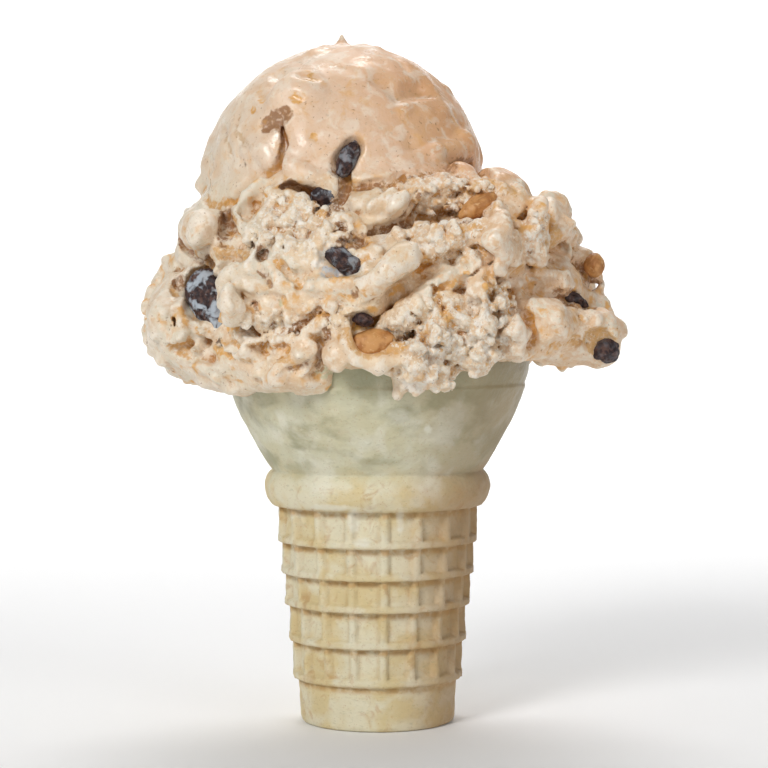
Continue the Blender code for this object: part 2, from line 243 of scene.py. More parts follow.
MASSES = (
    ((-7.0, 1.0, 109.0), (27.8, 27.5, 25.8)),  # dome
    ((0.0, 1.0, 87.0), (37.0, 35.0, 15.0)),  # body under it
)
ROLLS = (
    ((-34.0, -9.0, 79.5), (-34.0, 6.0, 81.0), 11.6),  # left lobe
    ((-30.0, -16.0, 73.5), (-14.0, -27.0, 73.0), 7.4),  # lower left flap
    ((-31.0, -8.0, 97.0), (-18.0, -21.0, 100.0), 8.0),  # left shoulder
    ((-23.0, -21.0, 94.0), (-8.0, -25.5, 95.5), 7.5),
    ((-22.0, -25.0, 86.0), (-6.0, -28.0, 91.0), 7.4),
    ((-8.0, -29.0, 80.0), (-2.0, -30.5, 77.0), 6.0),
    ((0.5, -22.5, 103.0), (22.0, -18.0, 102.5), 7.4),  # second layer
    ((20.0, -25.0, 95.0), (-3.0, -30.0, 84.5), 7.0),  # diagonal folds
    ((22.0, -26.0, 88.0), (2.0, -30.0, 77.5), 6.0),
    ((16.0, -30.0, 81.0), (7.5, -31.0, 73.0), 5.2),  # hanging slab
    ((10.5, -31.0, 72.0), (8.0, -31.0, 70.6), 3.0),
    ((5.6, -31.0, 70.4), (4.2, -31.4, 66.4), 0.7),  # its drip
    ((18.0, -28.0, 78.0), (28.0, -21.0, 78.5), 6.2),
    ((23.0, -17.0, 97.0), (31.6, -3.0, 97.0), 8.0),  # right shoulder
    ((30.0, -14.0, 86.5), (35.5, -2.0, 84.5), 7.6),
    ((33.0, -13.0, 77.5), (41.8, -11.0, 76.8), 5.8),  # right lobe
    ((36.0, -3.0, 90.5), (41.2, -3.0, 91.0), 3.3),  # nub
    ((36.0, -4.0, 85.5), (41.0, -4.0, 85.2), 2.9),
    ((-31.0, 12.0, 82.0), (-12.0, 30.0, 79.0), 9.0),  # back
    ((-8.0, 31.0, 84.0), (17.0, 29.5, 80.0), 8.8),
    ((22.0, 26.0, 80.0), (35.0, 8.0, 81.0), 9.0),
    ((-22.0, 19.0, 99.0), (20.0, 19.0, 99.0), 8.2),
)
FORM_SOFTNESS = 3.0

# ---------------------------------------------------------------- ice cream: strokes
# sign, points (across, height), start and end radius, how far the middle is sunk under the surface, tint.
# ADD draws a ridge or lump, CUT a groove or pit. The tint colours the stroke's surface; None leaves it.

ADD = 1
CUT = -1

FRONT = 0.0
STROKES = (
    # dome: the melted skin's crack, lip and edge
    (ADD, ((-14.0, 121.0), (-12.6, 112.0)), (7.5, 6.2), 5.6, None),
    (CUT, ((-18.0, 117.0), (-17.4, 113.0), (-17.8, 110.0)), (1.0, 1.3), 0.3, "brown"),
    (CUT, ((-17.8, 110.0), (-19.6, 108.8), (-22.0, 107.6)), (0.9, 0.5), 0.2, "tan"),
    (CUT, ((-21.0, 117.4), (-19.4, 118.4), (-17.6, 119.2)), (1.9, 1.5), -0.9, "brown"),
    (ADD, ((-24.0, 113.0), (-21.0, 112.0), (-20.2, 110.4)), (2.0, 2.4), 1.3, None),
    # The skin's lower edge: a groove tinted brown as painted shadow.
    (CUT, ((-4.4, 105.6), (2.7, 106.9), (8.0, 108.0), (13.7, 109.3), (17.4, 110.6), (20.3, 107.8)),
     (0.8, 1.5), 0.2, "brown"),
    (ADD, ((4.0, 110.2), (10.0, 111.4), (16.0, 113.6)), (2.6, 3.0), 2.0, None),
    (CUT, ((0.6, 126.8), (4.6, 124.4), (10.2, 125.6)), (2.2, 2.6), -1.9, None),
    (CUT, ((-33.0, 104.0), (-28.8, 102.3), (-25.4, 104.6)), (0.9, 0.7), 0.1, "tan"),
    (CUT, ((-30.0, 117.6), (-28.6, 114.0), (-28.0, 111.0)), (0.5, 0.5), -0.2, "shade"),
    (CUT, ((-26.8, 120.4), (-27.2, 116.6), (-24.6, 113.2)), (0.6, 0.6), -0.2, "shade"),
    (CUT, ((-26.4, 110.9), (-25.8, 110.2)), (0.7, 0.5), -0.3, "dark"),
    (CUT, ((-22.4, 124.0), (-22.0, 122.6)), (0.9, 0.8), -0.4, "orange"),
    (CUT, ((-19.6, 128.0), (-18.4, 127.6)), (1.1, 0.9), -0.5, "orange"),
    (CUT, ((-16.0, 122.6), (-14.6, 121.8)), (1.0, 0.8), -0.5, "orange"),
    (CUT, ((-24.4, 121.0), (-23.8, 120.4)), (0.8, 0.8), -0.4, "orange"),
    (CUT, ((-12.2, 114.8), (-11.6, 114.2)), (1.0, 0.8), -0.6, "orange"),
    (CUT, ((-14.0, 127.6), (-11.8, 127.0)), (1.6, 1.3), -1.0, "tan"),
    # second layer: a smooth slab, a white knob and the groove under it
    (ADD, ((-4.6, 101.4), (2.0, 102.0)), (3.6, 3.4), 2.2, None),
    (ADD, ((-6.5, 98.6), (-2.6, 98.3), (1.0, 99.9), (4.6, 101.6)), (1.3, 1.3), 0.5, None),
    (ADD, ((2.4, 101.7), (4.8, 103.2)), (1.5, 1.6), -0.2, "white"),
    (CUT, ((-6.1, 94.4), (-2.3, 94.8), (0.5, 95.9), (6.1, 98.4), (11.7, 99.8), (18.0, 100.3)),
     (1.6, 1.4), 0.7, "brown"),
    (ADD, ((17.2, 104.6), (21.0, 104.6)), (2.0, 2.0), 0.8, "tan"),
    (ADD, ((23.0, 104.4), (28.0, 102.6)), (1.7, 1.3), 0.2, "tan"),
    (ADD, ((7.0, 103.6), (14.0, 104.0)), (3.0, 2.6), 1.6, None),
    (CUT, ((14.2, 107.5), (19.0, 102.8)), (0.8, 0.7), 0.2, "tan"),
    # front: diagonal folds from the upper right to the lower left
    (ADD, ((-3.6, 91.0), (0.2, 93.6), (4.6, 95.8), (9.8, 97.2), (17.2, 97.0), (22.6, 97.6)),
     (1.8, 2.2), 0.3, "ice"),
    (ADD, ((9.0, 94.6), (17.0, 94.2)), (3.0, 3.6), 1.8, None),
    (CUT, ((12.5, 91.5), (8.0, 89.2), (4.4, 85.0), (0.4, 81.2), (-4.6, 78.8)), (2.3, 2.8), -0.2, "shade"),
    (ADD, ((-1.4, 87.2), (1.8, 89.4), (4.8, 92.0)), (2.5, 2.6), -0.3, "white"),
    (ADD, ((17.0, 91.0), (12.6, 86.9), (7.9, 82.8), (1.6, 78.4)), (2.4, 1.4), 0.3, "cream"),
    (CUT, ((15.4, 85.0), (11.1, 81.7), (6.4, 78.0), (2.6, 74.9)), (1.2, 1.5), 0.7, "brown"),
    (ADD, ((15.4, 81.6), (11.6, 78.4), (7.4, 75.2), (4.6, 71.8)), (1.7, 1.6), 0.3, None),
    (ADD, ((11.6, 77.6), (8.8, 72.6), (7.2, 69.6)), (3.4, 2.6), 1.5, "ice"),
    (ADD, ((18.4, 86.0), (19.2, 79.0), (18.2, 74.0)), (2.4, 2.8), 1.0, "ice"),
    (CUT, ((15.9, 89.0), (15.2, 84.6), (14.8, 80.0)), (0.8, 0.9), 0.2, "orange"),
    (ADD, ((21.0, 96.2), (24.0, 93.4)), (2.3, 2.2), 0.3, "cream"),
    (CUT, ((22.4, 100.4), (25.6, 97.0), (26.6, 91.8)), (1.0, 1.0), 0.3, "orange"),
    (ADD, ((28.8, 101.6), (29.6, 97.0), (29.6, 92.6)), (2.1, 2.3), 0.2, "ice"),
    (ADD, ((32.8, 103.2), (36.2, 103.0)), (2.6, 2.6), 1.2, "cream"),
    (CUT, ((32.6, 99.6), (33.2, 96.0)), (1.8, 1.6), 0.2, "tan"),
    (CUT, ((23.0, 88.4), (27.4, 90.2), (31.2, 91.4), (35.0, 92.2)), (1.1, 0.9), 0.3, "tan"),
    (CUT, ((29.0, 86.8), (34.4, 86.6)), (4.5, 4.0), -3.2, None),
    (ADD, ((26.8, 86.6), (27.4, 83.4)), (0.9, 1.2), 0.0, None),
    (ADD, ((31.0, 79.8), (36.6, 78.8)), (4.4, 4.0), 2.6, None),
    (CUT, ((38.4, 81.0), (39.2, 76.0)), (0.8, 0.6), 0.1, "tan"),
    (ADD, ((40.6, 78.4), (43.4, 77.6)), (3.6, 3.2), 2.2, "cream"),
    (CUT, ((29.6, 82.4), (29.2, 76.0)), (0.9, 1.0), 0.3, "orange"),
    (CUT, ((34.6, 84.9), (37.6, 84.5), (40.4, 83.2)), (1.9, 1.6), -0.6, "brown"),
    (CUT, ((42.0, 75.4), (44.4, 74.4)), (3.2, 3.0), -1.6, "tan"),
    (ADD, ((24.2, 90.6), (23.4, 84.0), (25.0, 78.4)), (1.5, 1.8), 0.2, None),
    (CUT, ((21.8, 89.6), (21.6, 83.6), (22.8, 78.2)), (0.9, 1.0), 0.3, "tan"),
    (CUT, ((12.0, 84.4), (13.2, 79.6), (12.0, 75.4)), (0.9, 0.9), 0.3, "tan"),
    (ADD, ((6.4, 70.4), (11.6, 69.4), (16.0, 71.2)), (1.8, 1.8), 0.4, "cream"),
    (CUT, ((9.6, 97.2), (14.2, 98.6), (20.0, 99.0)), (0.8, 0.8), 0.1, "brown"),
    (CUT, ((24.4, 99.6), (27.4, 100.8)), (1.0, 1.0), 0.2, "orange"),
    (ADD, ((33.0, 101.0), (37.8, 99.4), (37.4, 94.0)), (1.4, 1.6), 0.0, "cream"),
    (CUT, ((35.4, 98.6), (36.0, 93.8)), (1.0, 1.2), 0.1, "tan"),
    (CUT, ((27.0, 95.6), (31.0, 93.8), (35.4, 95.0)), (0.8, 0.8), 0.2, "tan"),
    (CUT, ((33.6, 76.0), (37.4, 75.6), (40.0, 76.8)), (0.9, 0.8), 0.1, "tan"),
    # left: coated ball, hook, cap over the chocolate, ledge
    (ADD, ((-27.6, 87.0), (-26.6, 83.0), (-27.4, 79.4)), (1.7, 1.9), -0.3, None),
    (ADD, ((-33.5, 98.2), (-33.2, 98.9)), (3.6, 3.4), -1.2, "white"),
    (CUT, ((-29.4, 101.2), (-28.6, 97.8), (-28.8, 94.6)), (1.1, 1.4), 0.4, "brown"),
    (CUT, ((-27.8, 99.4), (-26.4, 94.8)), (1.7, 2.0), 0.6, "tan"),
    (ADD, ((-22.0, 106.6), (-25.4, 103.8), (-26.6, 100.6), (-25.0, 97.6), (-21.6, 96.8)), (1.2, 1.5), 0.0,
     "cream"),
    (CUT, ((-24.4, 101.2), (-22.2, 102.8)), (1.8, 1.5), 0.3, "tan"),
    (ADD, ((-31.4, 92.2), (-28.0, 93.0), (-25.4, 91.6)), (1.6, 1.6), 0.2, "tan"),
    (CUT, ((-34.6, 90.6), (-35.2, 84.0), (-31.6, 77.4), (-28.4, 76.6)), (0.7, 0.6), 0.1, "tan"),
    (ADD, ((-27.4, 84.6), (-26.0, 81.0)), (2.2, 2.0), 0.2, None),
    (CUT, ((-25.0, 79.2), (-23.2, 81.6), (-22.6, 84.2)), (1.4, 1.5), 0.8, "brown"),
    (ADD, ((-26.0, 88.4), (-22.0, 90.0), (-16.8, 91.6)), (1.8, 2.0), 0.3, "cream"),
    (ADD, ((-23.0, 87.2), (-17.8, 88.0)), (2.4, 2.6), 0.9, "cream"),
    # The groove under the flap is tinted green as painted shadow.
    (CUT, ((-22.6, 83.2), (-17.8, 83.8)), (1.3, 1.1), 0.5, "green"),
    (CUT, ((-31.2, 76.6), (-26.1, 75.7), (-19.5, 75.3), (-12.8, 76.2)), (0.8, 0.9), 0.2, "tan"),
    (CUT, ((-30.8, 76.2), (-30.2, 74.6)), (0.8, 0.6), -0.3, "dark"),
    (CUT, ((-32.4, 72.9), (-31.4, 72.0)), (0.6, 0.5), 0.0, "dark"),
    (CUT, ((-30.2, 72.2), (-29.4, 70.9)), (0.6, 0.5), 0.0, "dark"),
    (CUT, ((-29.0, 70.0), (-28.6, 68.4)), (0.6, 0.5), 0.0, "dark"),
    (CUT, ((-25.0, 72.6), (-21.0, 71.6), (-16.4, 73.0)), (0.7, 0.7), 0.0, "tan"),
    (ADD, ((-36.4, 77.6), (-35.0, 72.0), (-31.0, 68.8)), (1.3, 1.3), 0.4, "cream"),
    (CUT, ((-37.0, 82.0), (-34.6, 78.4), (-33.8, 73.6)), (0.7, 0.7), 0.0, "tan"),
    (ADD, ((-17.0, 72.6), (-13.6, 74.4), (-11.4, 76.8)), (1.6, 1.6), 0.3, None),
    (CUT, ((-15.6, 70.8), (-13.2, 72.6)), (0.8, 0.7), 0.1, "brown"),
    (CUT, ((-9.2, 77.6), (-9.9, 73.7), (-11.0, 70.2)), (0.9, 1.2), 0.3, "brown"),
    (CUT, ((-39.4, 87.4), (-37.9, 80.6), (-39.2, 74.6)), (0.9, 0.7), 0.0, "tan"),
    (ADD, ((-21.0, 99.2), (-15.8, 97.6), (-9.8, 99.6)), (1.8, 2.2), 0.7, None),
    (ADD, ((-18.6, 95.0), (-14.0, 93.8)), (2.2, 2.4), 0.8, None),
    (CUT, ((-21.4, 94.4), (-20.6, 92.2)), (1.2, 1.0), 0.2, "brown"),
    # middle: cavity, pits, the wave and the lip round the front nut
    (CUT, ((-4.6, 76.6), (-1.6, 76.0), (2.2, 76.6)), (2.6, 2.4), -1.4, "tan"),
    (CUT, ((-8.0, 96.9), (-6.0, 95.9), (-3.8, 95.6)), (1.2, 1.6), 0.6, "brown"),
    (ADD, ((-14.7, 91.0), (-16.4, 85.4), (-15.6, 79.4)), (1.6, 1.8), 0.5, "cream"),
    (CUT, ((-12.6, 90.0), (-12.8, 84.6), (-11.4, 80.6)), (1.0, 1.0), -0.2, None),
    (ADD, ((-9.6, 86.6), (-5.8, 85.0)), (2.0, 2.0), 0.8, "cream"),
    (CUT, ((-11.2, 81.0), (-10.6, 80.6)), (0.9, 0.7), 0.2, "brown"),
    (CUT, ((-8.8, 80.6), (-8.3, 80.0)), (0.8, 0.7), 0.2, "brown"),
    (CUT, ((-14.2, 89.8), (-13.8, 89.2)), (0.9, 0.8), 0.2, "orange"),
    (CUT, ((-17.4, 84.6), (-17.0, 83.8)), (0.8, 0.7), 0.1, "orange"),
    (ADD, ((-5.3, 78.6), (-5.7, 76.2), (-4.0, 73.9), (-0.6, 72.8), (3.2, 73.0)), (1.1, 1.2), -0.5, "white"),
    # Here the green is the wet cream's own tint by the cup.
    (ADD, ((-10.0, 71.8), (-2.0, 70.6)), (2.0, 1.8), 1.0, "green"),
)

# Drawn last, so that no loose lump lies on them.
LATE_STROKES = (
    (ADD, ((-33.6, 97.6), (-33.2, 98.6)), (3.4, 3.4), -1.0, "white"),
    (CUT, ((-29.2, 100.6), (-28.6, 97.4), (-28.4, 93.8)), (1.2, 1.5), 0.6, "brown"),
    (ADD, ((-1.4, 87.4), (1.8, 89.4), (5.2, 92.4)), (2.6, 2.9), 0.4, "white"),
    (ADD, ((20.6, 95.4), (23.6, 92.6)), (2.2, 2.3), -0.2, "white"),
    (ADD, ((2.6, 101.9), (4.8, 103.2)), (1.5, 1.6), -0.4, "white"),
    (CUT, ((8.6, 99.6), (14.0, 100.6), (19.6, 100.0)), (1.2, 1.2), 0.5, "tan"),
    (CUT, ((18.6, 92.8), (20.6, 89.6), (21.4, 84.0)), (1.0, 1.1), 0.5, "tan"),
    (CUT, ((-22.0, 94.6), (-20.6, 91.8)), (1.5, 1.3), 0.6, "brown"),
    (CUT, ((-17.6, 90.6), (-14.8, 89.0), (-14.4, 86.8)), (0.9, 0.9), 0.4, "orange"),
    (CUT, ((-10.4, 82.4), (-12.4, 79.6), (-16.0, 77.8)), (0.9, 0.9), 0.4, "brown"),
    (ADD, ((-5.4, 78.4), (-5.6, 75.6), (-3.6, 73.4), (0.4, 72.6), (3.6, 73.4)), (1.2, 1.3), -0.6, "white"),
    (CUT, ((-33.4, 87.6), (-33.6, 84.0), (-30.8, 78.2)), (3.5, 3.6), 0.5, "shade"),
    (ADD, ((-27.6, 86.0), (-26.8, 83.0), (-27.6, 80.0)), (1.5, 1.9), -0.8, None),
    (CUT, ((-16.0, 104.6), (-12.6, 103.0), (-8.6, 101.4)), (1.7, 2.6), 1.0, "brown"),
    (ADD, ((-16.8, 111.6), (-15.8, 108.9), (-12.8, 107.4), (-10.4, 106.1), (-8.2, 105.6), (-7.4, 107.4)),
     (2.1, 1.8), 0.4, "white"),
    (CUT, ((-7.0, 108.8), (-6.2, 110.4), (-4.6, 112.8)), (2.0, 1.8), 0.2, "brown"),
    (CUT, ((-5.8, 107.8), (-6.2, 105.6), (-7.4, 103.4)), (1.1, 1.2), 0.5, "brown"),
    (CUT, ((-18.0, 117.0), (-17.4, 113.0), (-18.2, 109.8)), (0.8, 1.0), 0.4, "brown"),
    (CUT, ((-7.6, 92.4), (-6.0, 91.4), (-4.2, 90.4)), (2.6, 2.4), -1.0, None),
    (CUT, ((-8.8, 90.2), (-7.0, 89.2), (-5.4, 89.0)), (0.9, 0.9), -0.2, "film"),
)

STROKE_SOFTNESS = 0.8
CALM_TINTS = ("white", "film")


def calm_down(clay, rough, start, end, radius):
    """Make the ice cream smooth along a stroke."""
    margin = radius + 2.0
    slices, x, y, z = clay.window(np.minimum(start, end) - margin, np.maximum(start, end) + margin)
    away = roll_distance(x, y, z, start, end, radius, radius)
    rough[slices] *= 1.0 - 0.9 * smooth_step((1.2 - away) / 1.5)


def draw(clay, rough, stroke, facing, tints):
    """Draw one stroke on the clay, and note the tint of each of its lengths."""
    sign, points, radii, sunk, tint = stroke
    spots = []
    for across, height in points:
        surface, outward = clay.touch(across, height, facing)
        spots.append(surface - sunk * outward)
    steps = np.linspace(radii[0], radii[1], len(spots))
    for start, end, start_radius, end_radius in zip(spots, spots[1:], steps, steps[1:]):
        add_roll(clay, start, end, (start_radius, end_radius), STROKE_SOFTNESS, sign)
        if tint in CALM_TINTS:
            calm_down(clay, rough, start, end, max(start_radius, end_radius))
        if tint:
            tints.append((tint, start, end, max(start_radius, end_radius)))


# ---------------------------------------------------------------- ice cream: rough and calm places
# Ellipsoids in the frame: centre, radii and how rough the ice cream is in them.

SKIRT_ROUGHNESS = 0.30
SKIRT_TOP = 106.0
ROUGH_PLACES = (
    ((-14.0, -29.0, 97.0), (11.0, 8.0, 7.5), 1.0),
    ((12.0, -26.0, 104.0), (12.0, 8.0, 4.5), 0.8),
    ((14.0, -31.0, 95.0), (12.0, 8.0, 4.5), 1.0),
    ((12.0, -34.0, 76.0), (12.0, 8.0, 9.5), 1.2),
    ((20.0, -30.0, 80.0), (7.0, 8.0, 9.0), 1.2),
    ((29.5, -20.0, 97.0), (3.5, 9.0, 6.5), 1.1),
    ((35.0, -13.0, 79.0), (8.0, 8.0, 5.0), 0.8),
    ((-20.0, -28.0, 79.0), (9.0, 8.0, 4.5), 0.9),
    ((-27.0, -22.0, 83.0), (3.5, 5.0, 4.0), 1.0),
    ((-9.0, -33.0, 81.0), (6.0, 6.0, 4.0), 0.7),
    ((10.0, 34.0, 86.0), (18.0, 12.0, 9.0), 0.9),
    ((-26.0, 24.0, 92.0), (11.0, 10.0, 8.0), 0.9),
    ((34.0, 14.0, 90.0), (9.0, 12.0, 9.0), 0.9),
)


def roughness_map(clay):
    """How crumbly the ice cream is, 0 to about 1.2, over the grid."""
    height = clay.axes[2][None, None, :]
    skirt = SKIRT_ROUGHNESS * smooth_step((SKIRT_TOP - height) / 5.0)
    rough = np.zeros(clay.count, np.float32) + skirt.astype(np.float32)
    for centre, radii, amount in ROUGH_PLACES:
        reach = np.array(radii) * 1.4
        slices, x, y, z = clay.window(np.array(centre) - reach, np.array(centre) + reach)
        away = np.sqrt(((x - centre[0]) / radii[0]) ** 2 + ((y - centre[1]) / radii[1]) ** 2
                       + ((z - centre[2]) / radii[2]) ** 2)
        rough[slices] = np.maximum(rough[slices], amount * smooth_step((1.35 - away) / 0.7))
    return rough


DOME_START = 104.0  # where the melted dome's calm surface starts
NEAR = 4.0  # only this near the surface is the clay shifted
WAVES = ((0.8, 6.0, 10), (0.45, 2.4, 20))  # depth, size, seed
SWELL = (0.50, 11.0, 1)
RIPPLE = (0.34, 4.5, 2)
RIPPLE_ON_DOME = 0.06
PEBBLES = ((1.15, 3.2, 3), (0.85, 1.75, 4), (0.60, 1.0, 5))
GAPS = (2.6, 3.6, 6)


def waver_amount(height):
    """How far the clay wavers at a height: less on the dome."""
    return 1.0 - 0.75 * smooth_step((height - DOME_START) / 8.0)


def waver(clay):
    """Shift the clay about a little, so that no stroke stays straight or even; returns the shifts."""
    shifts = [sum(depth * clay.noise(size, seed + axis) for depth, size, seed in WAVES) for axis in range(3)]
    near = np.nonzero(np.abs(clay.field) < NEAR)
    calm = waver_amount(clay.axes[2][near[2]])
    points = np.stack([clay.axes[axis][near[axis]] + calm * shifts[axis][near] for axis in range(3)], axis=1)
    warped = clay.field.copy()
    for part in np.array_split(np.arange(len(points)), 8):
        warped[tuple(index[part] for index in near)] = clay.sample(clay.field, points[part])
    clay.field = warped
    return shifts


def crumble(clay, rough):
    """Uneven lumps all over, and crumbs with sharp creases between them where it is rough."""
    height = clay.axes[2][None, None, :]
    skirt = smooth_step((107.0 - height) / 8.0).astype(np.float32)
    near = np.abs(clay.field) < NEAR
    shift = SWELL[0] * clay.noise(*SWELL[1:])
    shift = shift + (RIPPLE_ON_DOME + RIPPLE[0] * skirt) * clay.noise(*RIPPLE[1:])
    for depth, size, seed in PEBBLES:
        pebbles = np.abs(clay.noise(size, seed)) ** 0.7 - 0.4
        shift += depth * (0.03 + rough) * pebbles
    shift -= rough * GAPS[0] * np.maximum(clay.noise(*GAPS[1:]) - 0.38, 0.0)
    clay.field = np.where(near, clay.field - shift, clay.field).astype(np.float32)


# Lumps, pits and grains scattered over the ice cream: how many, smallest and largest radius, how far they
# are sunk under the surface as a part of the radius, softness, sign, and the least roughness where they
# lie. A roughness below zero means the calm surface, up to that much roughness.
SCATTERS = {
    "nuggets": (330, 0.9, 2.2, 0.45, 0.5, ADD, 0.15),
    "pits": (420, 0.4, 1.2, -0.1, 0.4, CUT, 0.12),
    "grains": (4200, 0.36, 0.80, 0.1, 0.25, ADD, 0.35),
    "swells": (110, 1.2, 3.4, 0.88, 1.2, ADD, -0.2),
    "dimples": (80, 1.2, 3.5, -0.90, 1.2, CUT, -0.2),
}


def scatter(clay, rough, kind, seed):
    """Stamp short rolls of random size and turn on the rough surface, or on the calm one."""
    count, smallest, largest, sunk, softness, sign, least = SCATTERS[kind]
    rng = np.random.default_rng(SEED + seed)
    at = np.argwhere(np.abs(clay.field) < 0.5 * clay.cell)
    there = rough[tuple(at.T)]
    chance = np.clip(there - least if least > 0.0 else -least - there, 0.0, 1.0)
    at = at[rng.choice(len(at), count, replace=False, p=chance / chance.sum())]
    slopes = [np.gradient(clay.field[tuple(slice(max(i - 1, 0), i + 2) for i in cell)]) for cell in at]
    for cell, slope in zip(at, slopes):
        out = np.array([part.mean() for part in slope])
        out = out / max(np.linalg.norm(out), 1e-6)
        radius = smallest + (largest - smallest) * rng.random() ** 2
        middle = cell * clay.cell + clay.low - sunk * radius * out
        half = 0.45 * radius * rng.standard_normal(3)
        half -= (half @ out) * out
        add_roll(clay, middle - half, middle + half, (radius, radius * rng.uniform(0.6, 1.0)), softness, sign)


# Strokes drawn at random: sign, radius, sunk, tint.
SIDE_KINDS = (
    (ADD, 2.4, 0.9, None), (ADD, 1.8, 0.4, "cream"), (ADD, 3.0, 1.6, None),
    (ADD, 1.6, 0.2, "white"), (CUT, 1.1, 0.3, "tan"), (CUT, 1.4, 0.5, "brown"),
    (CUT, 0.8, 0.2, "tan"), (CUT, 1.0, 0.3, "orange"), (CUT, 2.4, -0.8, "shade"),
)
FRONT_KINDS = (
    (CUT, 0.8, 0.4, "tan"), (CUT, 1.0, 0.4, "orange"), (CUT, 0.7, 0.4, "brown"), (CUT, 1.2, 0.3, None),
    (ADD, 0.9, 0.1, None), (ADD, 1.3, 0.4, "cream"), (ADD, 1.0, 0.2, "ice"), (ADD, 1.6, 0.8, None),
)
# Kinds, how many, azimuths, length of a step, how far to the side they start, seed.
SIDES = (SIDE_KINDS, 150, (70.0, 290.0), 3.2, 16.0, 50)
FRONT_DETAILS = (FRONT_KINDS, 130, (-62.0, 62.0), 1.5, 10.0, 51)
STARTS = (74.0, 104.0)  # heights between which they start
LOWEST = 73.0
HIGHEST = 106.0


def random_strokes(kinds, count, facings, step, spread, seed):
    """Folds, clefts and pits at random, each with the side it is drawn from."""
    rng = np.random.default_rng(SEED + seed)
    for number in rng.integers(0, len(kinds), count):
        sign, radius, sunk, tint = kinds[number]
        across, height = rng.uniform(-spread, spread), rng.uniform(*STARTS)
        slope = rng.uniform(-1.1, 1.1)
        points = []
        for _ in range(rng.integers(2, 5)):
            points.append((across, height))
            across += step * rng.uniform(0.6, 1.4)
            height += step * (slope + rng.uniform(-0.5, 0.5))
            height = min(max(height, LOWEST), HIGHEST)
        stroke = (sign, tuple(points), (radius, radius * rng.uniform(0.6, 1.1)), sunk, tint)
        yield stroke, rng.uniform(*facings)


CUP_GAP = 0.35
BELOW_RIM = 1.0


def seat_in_cup(clay):
    """Nothing is left where the cup and what it holds out of sight are."""
    slices, x, y, z = clay.window((-36.0, -36.0, 60.0), (36.0, 36.0, 75.0))
    reach = np.sqrt(x * x + y * y)
    inside = np.maximum(reach - (cup_radius(z) - CUP_GAP), z - (RIM_HEIGHT - BELOW_RIM))
    clay.field[slices] = -melt(-clay.field[slices], inside.astype(np.float32), 1.0)


CLAY_BOX = ((-50.0, -43.0, 61.0), (52.0, 45.0, 140.0))
PEAK = ((-7.1, 1.0, 133.4), (-7.1, 1.0, 136.8), (1.9, 0.4), 1.2)  # ends, radii, softness


def sculpt(cell):
    clay = Clay(*CLAY_BOX, cell)
    for centre, radii in MASSES:
        add_mass(clay, centre, radii, FORM_SOFTNESS)
    for start, end, radius in ROLLS:
        add_roll(clay, start, end, (radius, radius), FORM_SOFTNESS)
    tints = []
    rough = roughness_map(clay)
    for stroke in STROKES:
        draw(clay, rough, stroke, FRONT, tints)
    for stroke, facing in (*random_strokes(*SIDES), *random_strokes(*FRONT_DETAILS)):
        draw(clay, rough, stroke, facing, tints)
    for seed, kind in enumerate(("nuggets", "pits", "swells", "dimples"), 31):
        scatter(clay, rough, kind, seed)
    for stroke in LATE_STROKES:
        draw(clay, rough, stroke, FRONT, tints)
    shifts = waver(clay)
    crumble(clay, rough)
    scatter(clay, rough, "grains", 35)
    add_roll(clay, *PEAK)
    seat_in_cup(clay)
    return clay, rough, shifts, tints


# ---------------------------------------------------------------- meshes

def mesh_object(name, points, faces):
    """An object from points in millimetres and faces of one size."""
    mesh = bpy.data.meshes.new(name)
    faces = np.asarray(faces)
    corners = faces.shape[1]
    mesh.vertices.add(len(points))
    mesh.vertices.foreach_set("co", (np.asarray(points, np.float32) * MM).ravel())
    mesh.loops.add(faces.size)
    mesh.loops.foreach_set("vertex_index", faces.ravel().astype(np.int32))
    mesh.polygons.add(len(faces))
    mesh.polygons.foreach_set("loop_start", np.arange(0, faces.size, corners, dtype=np.int32))
    mesh.update(calc_edges=True)
    mesh.validate()
    mesh.shade_smooth()
    made = bpy.data.objects.new(name, mesh)
    bpy.context.scene.collection.objects.link(made)
    return made


def points_of(piece):
    points = np.empty(3 * len(piece.data.vertices), np.float32)
    piece.data.vertices.foreach_get("co", points)
    return points.reshape(-1, 3) / MM


def skin(clay):
    """Quads over the clay's surface: a corner in each cell that the surface crosses."""
    inside = clay.field < 0.0
    cells = tuple(n - 1 for n in clay.count)
    total = np.zeros(cells + (3,), np.float32)
    hits = np.zeros(cells, np.float32)
    edges = []
    for axis in range(3):
        near = [slice(None)] * 3
        far = [slice(None)] * 3
        near[axis], far[axis] = slice(None, -1), slice(1, None)
        a, b = clay.field[tuple(near)], clay.field[tuple(far)]
        crossing = np.argwhere(inside[tuple(near)] != inside[tuple(far)])
        first = a[tuple(crossing.T)]
        part = first / (first - b[tuple(crossing.T)])
        place = crossing.astype(np.float32)
        place[:, axis] += part
        others = [i for i in range(3) if i != axis]
        kept = np.all([(crossing[:, i] > 0) & (crossing[:, i] < cells[i]) for i in others], axis=0)
        crossing, place, first = crossing[kept], place[kept], first[kept]
        quad = []
        for da, db in ((0, 0), (1, 0), (1, 1), (0, 1)):
            cell = crossing.copy()
            cell[:, others[0]] -= da
            cell[:, others[1]] -= db
            index = np.ravel_multi_index(cell.T, cells)
            np.add.at(hits.reshape(-1), index, 1.0)
            np.add.at(total.reshape(-1, 3), index, place)
            quad.append(index)
        quad = np.stack(quad, axis=1)
        flip = (first < 0.0) == (axis == 1)
        quad[flip] = quad[flip][:, ::-1]
        edges.append(quad)
    used = np.flatnonzero(hits.reshape(-1))
    number = np.full(hits.size, -1, np.int64)
    number[used] = np.arange(len(used))
    points = total.reshape(-1, 3)[used] / hits.reshape(-1)[used][:, None]
    return points * clay.cell + clay.low, number[np.concatenate(edges)]


